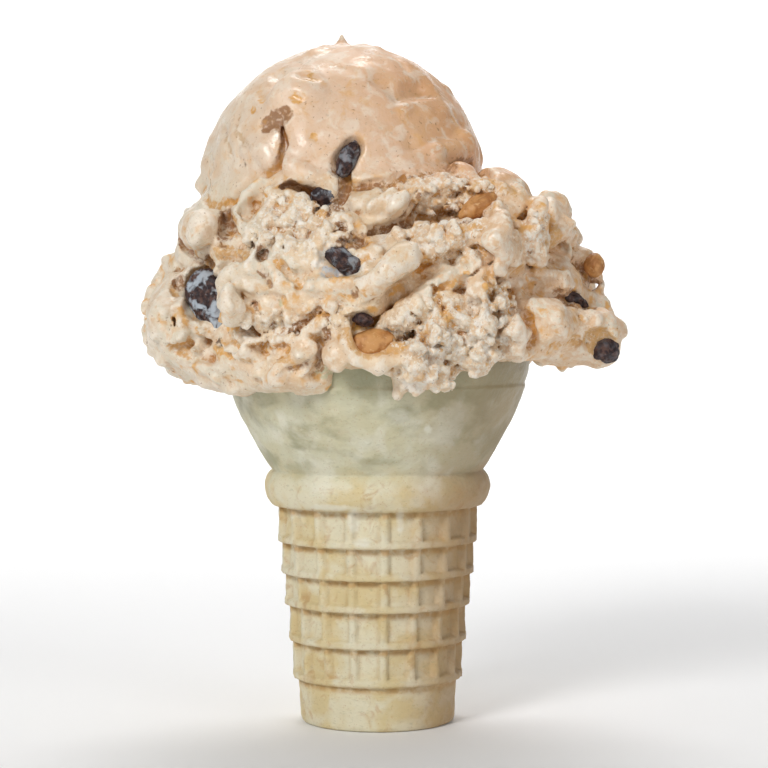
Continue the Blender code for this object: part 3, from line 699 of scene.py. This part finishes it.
def largest_body(points, faces):
    """Only the connected surface with the most corners."""
    label = np.arange(len(points))
    while True:
        low = label[faces].min(axis=1)
        new = label.copy()
        np.minimum.at(new, faces.ravel(), np.repeat(low, faces.shape[1]))
        new = new[new]
        if np.array_equal(new, label):
            break
        label = new
    main = np.bincount(label).argmax()
    kept_faces = faces[label[faces[:, 0]] == main]
    used, renumbered = np.unique(kept_faces, return_inverse=True)
    return points[used], renumbered.reshape(kept_faces.shape)


def apply_modifiers(piece):
    evaluated = piece.evaluated_get(bpy.context.evaluated_depsgraph_get())
    mesh = bpy.data.meshes.new_from_object(evaluated)
    old = piece.data
    piece.modifiers.clear()
    piece.data = mesh
    bpy.data.meshes.remove(old)


def thin_out(piece, triangles):
    have = sum(len(polygon.vertices) - 2 for polygon in piece.data.polygons)
    if have > triangles:
        thin = piece.modifiers.new("thin", "DECIMATE")
        thin.ratio = triangles / have
        apply_modifiers(piece)
    piece.data.shade_smooth()


def write_mask(piece, name, values):
    layer = piece.data.attributes.new(name, "FLOAT", "POINT")
    layer.data.foreach_set("value", np.asarray(values, np.float32))


# ---------------------------------------------------------------- materials

def linear(red, green, blue):
    """A colour in sRGB steps, 0 to 255, as linear values."""
    parts = [value / 255.0 for value in (red, green, blue)]
    return tuple(p / 12.92 if p <= 0.04045 else ((p + 0.055) / 1.055) ** 2.4 for p in parts) + (1.0,)


CREAM = linear(233, 210, 178)
CREAM_COOL = linear(226, 216, 196)
CREAM_SKIN = linear(232, 203, 176)
CREAM_TAN = linear(222, 180, 136)
WHITE = linear(241, 229, 211)
TAN = linear(214, 166, 102)
BROWN = linear(146, 96, 50)
ORANGE = linear(224, 168, 88)
ICE = linear(246, 238, 225)
DARK = linear(62, 44, 46)
# The skin's tan on the right, also used as painted warm shade.
CREAM_TAN_AND_SHADE = linear(220, 166, 118)
# Colour of the painted shade in the crevices.
CREVICE_SHADE = linear(178, 122, 64)
FILM = linear(196, 204, 212)
SHADE = linear(206, 176, 140)
# Colour of the wet cream by the cup, and of painted shadow under the flap.
GREEN_WET_AND_SHADE = linear(205, 200, 165)

TINTS = {"shade": SHADE, "cream": CREAM_COOL, "white": WHITE, "green": GREEN_WET_AND_SHADE, "film": FILM, "ice": ICE,
         "tan": TAN, "orange": ORANGE, "brown": BROWN, "dark": DARK}
DEEP_TINTS = ("tan", "orange", "brown")


class Nodes:
    """A short way to write a material's nodes."""

    def __init__(self, name):
        self.material = bpy.data.materials.new(name)
        self.material.use_nodes = True
        self.tree = self.material.node_tree
        self.shader = self.tree.nodes["Principled BSDF"]
        self.place = self.tree.nodes.new("ShaderNodeTexCoord").outputs["Object"]

    def link(self, value, socket):
        if isinstance(value, bpy.types.NodeSocket):
            self.tree.links.new(value, socket)
        else:
            socket.default_value = value

    def noise(self, size, detail=3.0, distortion=0.0, stretch=(1.0, 1.0, 1.0), offset=(0.0, 0.0, 0.0)):
        """Noise whose lumps are about size millimetres across."""
        mapping = self.tree.nodes.new("ShaderNodeMapping")
        mapping.inputs["Scale"].default_value = [part / (size * MM) for part in stretch]
        mapping.inputs["Location"].default_value = offset
        self.link(self.place, mapping.inputs["Vector"])
        node = self.tree.nodes.new("ShaderNodeTexNoise")
        node.inputs["Scale"].default_value = 1.0
        node.inputs["Detail"].default_value = detail
        node.inputs["Distortion"].default_value = distortion
        self.link(mapping.outputs["Vector"], node.inputs["Vector"])
        return node.outputs["Fac"]

    def cells(self, size):
        """The distance to the nearest of points about size millimetres apart."""
        node = self.tree.nodes.new("ShaderNodeTexVoronoi")
        node.inputs["Scale"].default_value = 1.0 / (size * MM)
        self.link(self.place, node.inputs["Vector"])
        return node.outputs["Distance"]

    def mask(self, name):
        node = self.tree.nodes.new("ShaderNodeAttribute")
        node.attribute_name = name
        return node.outputs["Fac"]

    def between(self, value, low, high, start=0.0, end=1.0):
        """The value's place between low and high, as start to end, with soft ends."""
        node = self.tree.nodes.new("ShaderNodeMapRange")
        node.interpolation_type = "SMOOTHSTEP"
        self.link(value, node.inputs["Value"])
        for key, number in (("From Min", low), ("From Max", high), ("To Min", start), ("To Max", end)):
            node.inputs[key].default_value = number
        return node.outputs["Result"]

    def plus(self, a, b, operation="ADD"):
        node = self.tree.nodes.new("ShaderNodeMath")
        node.operation = operation
        self.link(a, node.inputs[0])
        self.link(b, node.inputs[1])
        return node.outputs[0]

    def times(self, a, b):
        return self.plus(a, b, "MULTIPLY")

    def mix(self, factor, a, b):
        node = self.tree.nodes.new("ShaderNodeMix")
        node.data_type = "RGBA"
        self.link(factor, node.inputs["Factor"])
        self.link(a, node.inputs["A"])
        self.link(b, node.inputs["B"])
        return node.outputs["Result"]

    def axis(self, index):
        node = self.tree.nodes.new("ShaderNodeSeparateXYZ")
        self.link(self.place, node.inputs[0])
        return node.outputs[index]

    def bump(self, height, distance, strength=1.0, normal=None):
        node = self.tree.nodes.new("ShaderNodeBump")
        node.inputs["Distance"].default_value = distance * MM
        self.link(strength, node.inputs["Strength"])
        self.link(height, node.inputs["Height"])
        if normal:
            self.link(normal, node.inputs["Normal"])
        return node.outputs["Normal"]

    def finish(self, colour, roughness, normal=None, specular=0.5, subsurface=0.0, radius=(1.0, 0.8, 0.6)):
        self.link(colour, self.shader.inputs["Base Color"])
        self.link(roughness, self.shader.inputs["Roughness"])
        self.shader.inputs["Specular IOR Level"].default_value = specular
        if normal:
            self.link(normal, self.shader.inputs["Normal"])
        if subsurface:
            self.shader.inputs["Subsurface Weight"].default_value = subsurface
            self.shader.inputs["Subsurface Scale"].default_value = 0.002
            self.shader.inputs["Subsurface Radius"].default_value = radius
        return self.material


def cream_material():
    n = Nodes("melting_cream")
    rough = n.mask("rough")
    skin_part = n.mask("skin")
    # Painted light: the left side is tinted cooler, as if lit by cool light.
    painted_cool_light = n.between(n.axis(0), -0.036, -0.014, 0.8, 0.0)
    # The right side and the dome's right are warmer and darker: partly the skin's own tan, partly painted
    # warm shade.
    warm_shade_and_tan = n.between(n.plus(n.axis(0), n.times(n.axis(2), 0.5)), 0.044, 0.078, 0.0, 0.5)
    warm_shade_and_tan = n.times(warm_shade_and_tan, n.plus(n.times(skin_part, 1.2), 0.7))
    colour = n.mix(skin_part, CREAM, CREAM_SKIN)
    colour = n.mix(painted_cool_light, colour, CREAM_COOL)
    colour = n.mix(warm_shade_and_tan, colour, CREAM_TAN_AND_SHADE)
    clouds = n.between(n.noise(6.0, 5.0, 0.6), 0.42, 0.66, 0.0, 0.45)
    colour = n.mix(clouds, colour, CREAM_TAN)
    pale = n.between(n.noise(3.4, 4.0, 0.8, offset=(3.0, 1.0, 7.0)), 0.48, 0.66, 0.0, 0.50)
    colour = n.mix(pale, colour, WHITE)
    frost = n.times(n.between(n.noise(1.6, 4.0, 0.3, offset=(5.0, 9.0, 1.0)), 0.50, 0.64), rough)
    colour = n.mix(frost, colour, ICE)
    ragged = n.between(n.noise(1.1, 4.0, 0.4, offset=(7.0, 3.0, 3.0)), 0.25, 0.75, -0.5, 0.5)
    # Painted highlight: the crests are whitened.
    peak = n.between(n.plus(n.mask("peak"), ragged), 0.20, 0.90, 0.0, 0.70)
    colour = n.mix(peak, colour, WHITE)
    # Painted shade: the wide hollows are tinted tan.
    dip_shade = n.between(n.plus(n.mask("dip_shade"), ragged), 0.25, 1.0, 0.0, 0.50)
    colour = n.mix(dip_shade, colour, TAN)
    # Painted shade: the crevices are darkened to orange brown.
    crevice_shade = n.between(n.plus(n.mask("crevice_shade"), ragged), 0.35, 1.15, 0.0, 0.90)
    colour = n.mix(crevice_shade, colour, CREVICE_SHADE)
    # The tan, orange and brown tints are drawn stronger in the crevices: painted shade.
    depth = n.times(n.mask("crevice_shade"), 0.35)
    for name, tint in TINTS.items():
        spread = n.plus(n.mask(name), ragged)
        if name in DEEP_TINTS:
            spread = n.plus(spread, depth)
        colour = n.mix(n.between(spread, 0.40, 1.10, 0.0, 0.85), colour, tint)
    grain = n.noise(0.45, 3.0)
    colour = n.mix(n.between(grain, 0.55, 0.75, 0.0, 0.35), colour, TAN)
    ice = n.times(n.between(n.noise(0.5, 2.0, offset=(2.0, 8.0, 3.0)), 0.52, 0.66), rough)
    colour = n.mix(n.times(ice, 0.9), colour, ICE)
    caramel = n.times(n.between(n.noise(2.4, 4.0, 0.3, offset=(9.0, 2.0, 4.0)), 0.50, 0.70),
                     n.between(n.noise(9.0, 1.0, offset=(1.0, 5.0, 2.0)), 0.40, 0.58))
    colour = n.mix(n.times(caramel, n.between(skin_part, 0.0, 1.0, 0.9, 0.40)), colour, ORANGE)
    dots = n.between(n.noise(0.7, 2.0, 0.3, offset=(6.0, 6.0, 1.0)), 0.66, 0.74, 0.0, 0.55)
    colour = n.mix(dots, colour, BROWN)
    wet = n.between(n.noise(5.0, 3.0, offset=(4.0, 4.0, 9.0)), 0.38, 0.62)
    roughness = n.plus(n.between(wet, 0.0, 1.0, 0.50, 0.26), n.times(rough, 0.20))
    soft = n.bump(n.noise(1.8, 3.0), 0.35, 0.45)
    lumps = n.bump(n.noise(1.1, 3.0, 0.2), 0.6, n.plus(n.times(rough, 0.6), 0.08), soft)
    crumb = n.bump(n.noise(0.5, 3.0), 0.30, n.plus(n.times(rough, 0.8), 0.08), lumps)
    return n.finish(colour, roughness, crumb, 0.5, 0.12)


def wafer_material():
    n = Nodes("baked_wafer")
    pale, golden, brown, corners = (
        linear(222, 214, 186), linear(214, 196, 150), linear(180, 132, 80), linear(186, 144, 84))
    wet, soaked_and_shaded, murky, milky, painted_shade_right = (
        linear(202, 202, 176), linear(164, 166, 136), linear(150, 146, 112),
        linear(232, 230, 216), linear(142, 120, 88))
    side, height = n.axis(0), n.axis(2)
    colour = n.mix(n.between(n.noise(7.0, 4.0, 0.5), 0.40, 0.64), pale, golden)
    # Painted shade: the cup's right side is browned.
    colour = n.mix(n.between(side, 0.000, 0.019, 0.0, 0.65), colour, brown)
    toasted = n.between(n.noise(3.0, 5.0, 1.0, offset=(5.0, 0.0, 0.0)), 0.54, 0.74, 0.0, 0.45)
    colour = n.mix(toasted, colour, brown)
    # Painted shade beside the ribs and under the rings, in patches.
    shade_patches = n.between(n.noise(2.0, 3.0, offset=(1.0, 1.0, 1.0)), 0.3, 0.6, 0.15, 0.75)
    corner = n.times(n.mask("waffle_shade"), shade_patches)
    colour = n.mix(corner, colour, corners)
    soak = n.plus(height, n.times(n.noise(9.0, 3.0, 0.6), 0.012))
    colour = n.mix(n.between(soak, 0.052, 0.060, 0.0, 0.65), colour, wet)
    stain = n.times(n.between(n.noise(9.0, 5.0, 0.3, (1.0, 1.0, 1.6), (2.0, 2.0, 2.0)), 0.42, 0.66),
                   n.between(height, 0.048, 0.053, 0.0, 0.65))
    colour = n.mix(stain, colour, murky)
    cloud = n.times(n.between(n.noise(7.0, 6.0, 0.4, offset=(8.0, 4.0, 2.0)), 0.50, 0.70),
                   n.between(height, 0.042, 0.050, 0.10, 0.45))
    colour = n.mix(cloud, colour, milky)
    # Darkest just under the ice cream: the soaked wafer's own colour, and painted shadow of the ice cream's
    # skirt.
    colour = n.mix(n.between(soak, 0.070, 0.077, 0.0, 0.70), colour, soaked_and_shaded)
    # Painted shade: the right side is darkened further.
    colour = n.mix(n.between(side, 0.004, 0.027, 0.0, 0.60), colour, painted_shade_right)
    fibres = n.between(n.noise(0.9, 5.0, 0.8, (1.0, 1.0, 2.2)), 0.55, 0.75, 0.0, 0.30)
    colour = n.mix(fibres, colour, murky)
    pores = n.between(n.cells(0.8), 0.22, 0.08, 0.0, 0.30)
    colour = n.mix(pores, colour, brown)
    colour = n.mix(n.between(n.mask("milk"), 0.2, 1.0, 0.0, 0.60), colour, milky)
    roughness = n.between(soak, 0.060, 0.078, 0.60, 0.36)
    crackle = n.bump(n.noise(2.6, 5.0, 0.3), 0.45, 0.4)
    bubbles = n.bump(n.cells(0.9), 0.12, 0.5, crackle)
    crust = n.bump(n.noise(0.8, 5.0), 0.25, 0.6, bubbles)
    return n.finish(colour, roughness, crust, 0.35, 0.08)


def chocolate_material():
    n = Nodes("dark_chocolate")
    dark, light, smear = linear(44, 30, 32), linear(92, 66, 58), linear(186, 196, 206)
    colour = n.mix(n.between(n.noise(1.0, 4.0), 0.42, 0.68), dark, light)
    film = n.between(n.noise(1.9, 5.0, 0.6, offset=(1.0, 2.0, 3.0)), 0.44, 0.62)
    colour = n.mix(n.times(film, n.mask("coat")), colour, smear)
    roughness = n.between(n.noise(1.5, 2.0), 0.3, 0.7, 0.40, 0.65)
    rubble = n.bump(n.noise(0.6, 5.0), 0.35, 0.8)
    return n.finish(colour, roughness, n.bump(n.noise(1.8, 2.0), 0.6, 0.6, rubble), 0.35)


def nut_material():
    n = Nodes("toasted_nut")
    colour = n.mix(n.between(n.noise(2.2, 4.0, 0.6), 0.38, 0.66), linear(206, 152, 94), linear(170, 112, 60))
    colour = n.mix(n.between(n.noise(0.8, 3.0), 0.60, 0.75, 0.0, 0.6), colour, linear(232, 196, 146))
    return n.finish(colour, 0.45, n.bump(n.noise(1.6, 3.0), 0.25, 0.4), 0.4, 0.1)


# ---------------------------------------------------------------- pieces

CREAM_CELL = 0.38
CREAM_TRIANGLES = 196000
CREVICE_WIDTH = 1.6
DIP_WIDTH = 4.0


def tint_masks(piece, points, tints):
    """One mask for each tint: full on the stroke's surface, fading round it."""
    masks = {name: np.zeros(len(points)) for name in TINTS}
    for tint, start, end, radius in tints:
        reach = radius + 2.0
        near = np.flatnonzero(np.all((points > np.minimum(start, end) - reach)
                                     & (points < np.maximum(start, end) + reach), axis=1))
        x, y, z = points[near].T
        away = roll_distance(x, y, z, start, end, radius, radius)
        strength = smooth_step((0.55 - away) / 0.9)
        masks[tint][near] = np.maximum(masks[tint][near], strength)
    for name, values in masks.items():
        write_mask(piece, name, values)


def make_ice_cream():
    clay, rough, shifts, tints = sculpt(CREAM_CELL)
    points, faces = largest_body(*skin(clay))
    piece = mesh_object("melting_ice_cream", points, faces)
    thin_out(piece, CREAM_TRIANGLES)
    points = points_of(piece)
    # Masks from the blurred clay: painted shade in the crevices and wide hollows, painted highlight on the
    # crests.
    hollow = clay.sample(clay.blurred(CREVICE_WIDTH), points)
    wide_hollow = clay.sample(clay.blurred(DIP_WIDTH), points)
    write_mask(piece, "crevice_shade", smooth_step((-hollow - 0.03) / 0.40))
    write_mask(piece, "dip_shade", smooth_step((-wide_hollow - 0.15) / 1.1))
    write_mask(piece, "peak", smooth_step((hollow - 0.06) / 0.35))
    write_mask(piece, "rough", clay.sample(rough, points))
    write_mask(piece, "skin", smooth_step((points[:, 2] - DOME_START) / 6.0))
    calm = waver_amount(points[:, 2])
    shifted = points + np.stack([calm * clay.sample(shift, points) for shift in shifts], axis=1)
    tint_masks(piece, shifted, tints)
    piece.data.materials.append(cream_material())
    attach(piece, "root")
    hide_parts("ice_cream")
    return piece


CRUMB_COUNT = 260
CRUMB_SUBDIVISIONS = 2
CRUMB_SIZES = (0.20, 0.65)


def make_crumbs(cream):
    """Loose icy grains on the roughest ice cream, joined into one mesh."""
    rng = np.random.default_rng(SEED)
    points = points_of(cream)
    rough = np.empty(len(points), np.float32)
    cream.data.attributes["rough"].data.foreach_get("value", rough)
    chance = np.clip(rough - 0.45, 0.0, 1.0) ** 1.5
    places = rng.choice(len(points), CRUMB_COUNT, replace=False, p=chance / chance.sum())
    bpy.ops.mesh.primitive_ico_sphere_add(subdivisions=CRUMB_SUBDIVISIONS, radius=1.0)
    ball = bpy.context.object
    shape = points_of(ball) * MM
    corners = np.array([polygon.vertices[:] for polygon in ball.data.polygons])
    bpy.data.objects.remove(ball, do_unlink=True)
    smallest, largest = CRUMB_SIZES
    all_points, all_faces = [], []
    for number, place in enumerate(places):
        size = smallest + (largest - smallest) * rng.random() ** 2.5
        squash = rng.uniform(0.6, 1.2, 3) * size
        dents = 1.0 + 0.25 * rng.standard_normal(len(shape))[:, None]
        turn = np.array(Euler(rng.uniform(0.0, 6.28, 3)).to_matrix())
        all_points.append((shape * dents * squash) @ turn.T + points[place])
        all_faces.append(corners + number * len(shape))
    piece = mesh_object("icy_crumbs", np.concatenate(all_points), np.concatenate(all_faces))
    # Full roughness, and painted highlight that whitens the crumbs all over.
    for name, amount in (("rough", 1.0), ("peak", 0.8)):
        write_mask(piece, name, np.full(len(piece.data.vertices), amount))
    piece.data.materials.append(cream.data.materials[0])
    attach(piece, "root")


def from_rib(azimuth):
    """How far an azimuth is from the nearest rib's middle."""
    turn = 2.0 * math.pi / RIB_COUNT
    return np.abs((azimuth - RIB_AZIMUTH + 0.5 * turn) % turn - 0.5 * turn) * WAFFLE_RADIUS


def wafer_relief(azimuth, height):
    """How far the cup's surface stands in from the ribs' tops, at each azimuth and height."""
    rib = smooth_step((0.5 * RIB_FOOT - from_rib(azimuth)) / (0.5 * (RIB_FOOT - RIB_TOP)))
    ring = np.zeros_like(height)
    for bottom, _ in TIERS:
        above = height - bottom
        bar = smooth_step(above / RING_SLOPE + 0.35) * smooth_step((RING_HEIGHT - above) / RING_SLOPE)
        ring = np.maximum(ring, np.where(above > 0.0, bar, 0.0))
    waffle = (height > TIERS[0][0]) & (height < COLLAR_BOTTOM)
    return np.where(waffle, CELL_DEPTH * (1.0 - np.maximum(rib, ring)), 0.0)


def make_cone():
    columns = CUP_COLUMNS
    corner = np.linspace(0.0, BASE_CORNER, 6)[:-1]
    outside = np.concatenate((corner, np.arange(BASE_CORNER, RIM_HEIGHT - 0.5, CUP_RING_STEP)))
    azimuth = np.arange(columns) * 2.0 * math.pi / columns
    height, angle = np.meshgrid(outside, azimuth, indexing="ij")
    radius = cup_radius(height) - wafer_relief(angle, height)
    rings = [(radius, height)]
    rim = ((RIM_HEIGHT - 0.2, 0.15), (RIM_HEIGHT, 0.5), (RIM_HEIGHT, 1.1), (RIM_HEIGHT - 0.3, WALL))
    inside = [(z, WALL) for z in np.arange(RIM_HEIGHT - 3.0, COLLAR_TOP, -4.0)]
    inside += [(z, WALL + CELL_DEPTH) for z in (COLLAR_TOP - 1.0, TIERS[0][0], FLOOR)]
    for z, inset in (*rim, *inside):
        ring_height = np.full((1, columns), z)
        rings.append((cup_radius(ring_height) - inset, ring_height))
    radius = np.concatenate([r for r, z in rings])
    height = np.concatenate([z for r, z in rings])
    angle = np.broadcast_to(azimuth, radius.shape)
    points = np.stack((radius * np.sin(angle), -radius * np.cos(angle), height), axis=-1).reshape(-1, 3)
    rows = len(radius)
    index = np.arange(rows * columns).reshape(rows, columns)
    low, high = index[:-1], index[1:]
    faces = np.stack((low, np.roll(low, -1, axis=1), np.roll(high, -1, axis=1), high), axis=-1).reshape(-1, 4)
    piece = mesh_object("moulded_wafer_cup", points, faces)
    close_ends(piece, index[0], index[-1])
    roughen_wafer(piece)
    write_waffle_shade(piece)
    piece.data.materials.append(wafer_material())
    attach(piece, "root")
    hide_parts("cake_cone")
    return piece


def close_ends(piece, first_ring, last_ring):
    bm = bmesh.new()
    bm.from_mesh(piece.data)
    bm.verts.ensure_lookup_table()
    bm.faces.new([bm.verts[int(i)] for i in reversed(first_ring)])
    bm.faces.new([bm.verts[int(i)] for i in last_ring])
    bm.to_mesh(piece.data)
    bm.free()
    piece.data.shade_smooth()


# Dried milk on the cup: centre and radii.
MILK = (
    ((-4.4, -20.0, 42.0), (1.2, 3.0, 3.2)),
    ((-3.0, -19.6, 37.6), (1.8, 3.0, 0.9)),
    ((4.4, -20.0, 42.0), (0.8, 3.0, 3.0)),
    ((-9.0, -20.5, 44.4), (6.0, 4.0, 0.7)),
    ((9.6, -25.6, 59.6), (0.8, 3.0, 1.0)),
)


def roughen_wafer(piece):
    """The batter's unevenness and the dried milk; writes the milk's mask."""
    milk = np.zeros(len(piece.data.vertices))
    for vert in piece.data.vertices:
        place = vert.co / MM
        if place.z < 0.2:
            continue
        ragged = 0.35 * noise.fractal(place / 1.2, 1.0, 2.0, 2)
        for centre, radii in MILK:
            away = math.hypot(*((place[i] - centre[i]) / radii[i] for i in range(3)))
            milk[vert.index] = max(milk[vert.index], 1.5 - away + ragged)
        milk[vert.index] = min(milk[vert.index], 1.0)
        uneven = 0.20 * noise.fractal(place / 6.0, 1.0, 2.0, 3)
        uneven += 0.05 * noise.fractal(place / 1.5, 1.0, 2.0, 2)
        out = Vector((place.x, place.y, 0.0)).normalized()
        vert.co += out * (uneven + 0.15 * milk[vert.index]) * MM
    write_mask(piece, "milk", milk)


def write_waffle_shade(piece):
    """A mask of painted shade on the waffle: beside each rib and under each ring."""
    points = points_of(piece)
    away = from_rib(np.arctan2(points[:, 0], -points[:, 1]))
    beside = smooth_step((0.7 - np.abs(away - 0.5 * RIB_FOOT)) / 0.6)
    under = np.zeros(len(points))
    for bottom in [height for height, _ in TIERS] + [COLLAR_BOTTOM]:
        under = np.maximum(under, smooth_step((1.2 - np.abs(points[:, 2] - bottom + 0.4)) / 1.0))
    waffle = (points[:, 2] > TIERS[0][0] + RING_HEIGHT) & (points[:, 2] < COLLAR_BOTTOM)
    write_mask(piece, "waffle_shade", np.maximum(0.3 * beside * waffle, under))


# Node, kind, centre, radii, turn in degrees, and how much of it a film of melt covers.
CHUNKS = (
    ("chocolate_left", "chocolate", (-31.8, -18.8, 83.4), (4.4, 3.0, 6.8), (0, -16, -25), 0.9),
    ("chocolate_middle", "chocolate", (-6.0, -34.2, 91.3), (3.7, 2.1, 2.1), (0, 32, 0), 0.55),
    ("chocolate_low", "chocolate", (-2.6, -35.1, 80.5), (1.9, 1.8, 1.2), (0, 10, 0), 0.0),
    ("chocolate_tip", "chocolate", (43.8, -13.4, 74.4), (3.2, 3.1, 2.9), (0, 0, 0), 0.1),
    ("chocolate_right", "chocolate", (37.6, -13.0, 84.4), (3.5, 2.3, 1.4), (0, 20, 30), 0.1),
    ("chocolate_upper", "chocolate", (-10.0, -25.6, 103.6), (2.6, 2.2, 2.3), (0, 30, 0), 0.6),
    ("chocolate_dome", "chocolate", (-5.5, -25.0, 110.6), (1.9, 1.9, 3.4), (0, 22, 0), 0.35),
    ("nut_front", "nut", (-1.3, -35.1, 76.0), (4.6, 2.6, 2.7), (0, -15, 0), 0.0),
    ("nut_upper", "nut", (19.0, -26.4, 101.6), (4.4, 2.6, 2.2), (0, -30, 20), 0.0),
    ("nut_edge", "nut", (42.8, -4.8, 91.0), (2.1, 2.3, 2.4), (0, 0, 0), 0.0),
)
CHUNK_SUBDIVISIONS = 5
CHUNK_LUMPS = ((0.20, 1.4), (0.10, 3.1), (0.05, 7.0))  # depth and number of turns across
CHUNK_UNEVENNESS = {"chocolate": 1.0, "nut": 0.45}


def make_chunk(name, kind, centre, radii, turn, coat, material, seed):
    """A broken piece: a ball with flats and dents."""
    bpy.ops.mesh.primitive_ico_sphere_add(subdivisions=CHUNK_SUBDIVISIONS, radius=1.0)
    piece = bpy.context.object
    piece.name = piece.data.name = name + "_piece"
    shift = Vector((seed * 3.7, 0.0, 0.0))
    angles = Euler([math.radians(angle) for angle in turn]).to_matrix()
    for vert in piece.data.vertices:
        place = vert.co.copy()
        lumps = sum(depth * noise.noise(place * turns + shift) for depth, turns in CHUNK_LUMPS)
        place *= 1.0 + lumps * CHUNK_UNEVENNESS[kind]
        place = Vector([part * radius for part, radius in zip(place, radii)])
        vert.co = (angles @ place + Vector(centre)) * MM
    write_mask(piece, "coat", np.full(len(piece.data.vertices), coat))
    piece.data.shade_smooth()
    piece.data.materials.append(material)
    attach(piece, "root")
    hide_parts(name)


def make_chunks():
    materials = {"chocolate": chocolate_material(), "nut": nut_material()}
    for seed, (name, kind, centre, radii, turn, coat) in enumerate(CHUNKS):
        make_chunk(name, kind, centre, radii, turn, coat, materials[kind], seed)


# ---------------------------------------------------------------- stage, lamps and camera

def make_stage():
    """A pale floor that curves up into a backdrop."""
    depth, width, bend = 1.2, 3.0, 0.5
    profile = [(-1.0, 0.0), (depth, 0.0)]
    profile += [(depth + bend * math.sin(a), bend - bend * math.cos(a))
                for a in np.linspace(0.0, 0.5 * math.pi, 12)[1:]]
    profile.append((depth + bend, 2.5))
    points = [(side * width, y, z) for y, z in profile for side in (-1.0, 1.0)]
    faces = [(2 * i, 2 * i + 1, 2 * i + 3, 2 * i + 2) for i in range(len(profile) - 1)]
    floor = mesh_object("pale_floor", np.array(points) / MM, faces)
    n = Nodes("pale_paper")
    floor.data.materials.append(n.finish((0.9, 0.9, 0.9, 1.0), 0.8, None, 0.2))
    floor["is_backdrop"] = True


def add_lamp(name, place, aim, size, watts):
    lamp = bpy.data.lights.new(name, "AREA")
    lamp.shape = "DISK"
    lamp.size = size
    lamp.energy = watts
    holder = bpy.data.objects.new(name, lamp)
    bpy.context.scene.collection.objects.link(holder)
    holder.location = place
    holder.rotation_euler = (Vector(aim) - Vector(place)).to_track_quat("-Z", "Y").to_euler()


MIDDLE = (0.0, 0.0, 0.08)
LAMPS = (  # name, place, aim, size, watts
    ("key", (-0.50, -0.85, 0.62), MIDDLE, 0.4, 6.8),
    ("fill", (0.7, -0.7, 0.35), MIDDLE, 0.5, 1.8),
    ("top", (0.1, 0.2, 1.0), MIDDLE, 0.6, 0.6),
    ("backdrop", (0.0, 0.7, 1.3), (0.0, 1.7, 0.3), 0.8, 22.0),
)
SKY_STRENGTH = 0.19


def make_lamps():
    for lamp in LAMPS:
        add_lamp(*lamp)
    world = bpy.data.worlds.new("soft_sky")
    world.use_nodes = True
    world.node_tree.nodes["Background"].inputs["Color"].default_value = (1.0, 1.0, 1.0, 1.0)
    world.node_tree.nodes["Background"].inputs["Strength"].default_value = SKY_STRENGTH
    bpy.context.scene.world = world


CAMERA_PLACE = (0.0013, -0.453, 0.0832)
CAMERA_TILT = math.radians(88.0)
CAMERA_LENS = 106.2


def make_camera():
    camera = bpy.data.cameras.new("camera")
    camera.lens = CAMERA_LENS
    camera.clip_start = 0.01
    holder = bpy.data.objects.new("camera", camera)
    bpy.context.scene.collection.objects.link(holder)
    holder.location = CAMERA_PLACE
    holder.rotation_euler = (CAMERA_TILT, 0.0, 0.0)
    bpy.context.scene.camera = holder


make_cone()
make_crumbs(make_ice_cream())
make_chunks()
make_stage()
make_lamps()
make_camera()
bpy.context.scene.view_settings.view_transform = "Standard"

boxes = {"cad": cad_box, "visual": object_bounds()}
{name: [list(map(float, corner)) for corner in box] for name, box in boxes.items()}
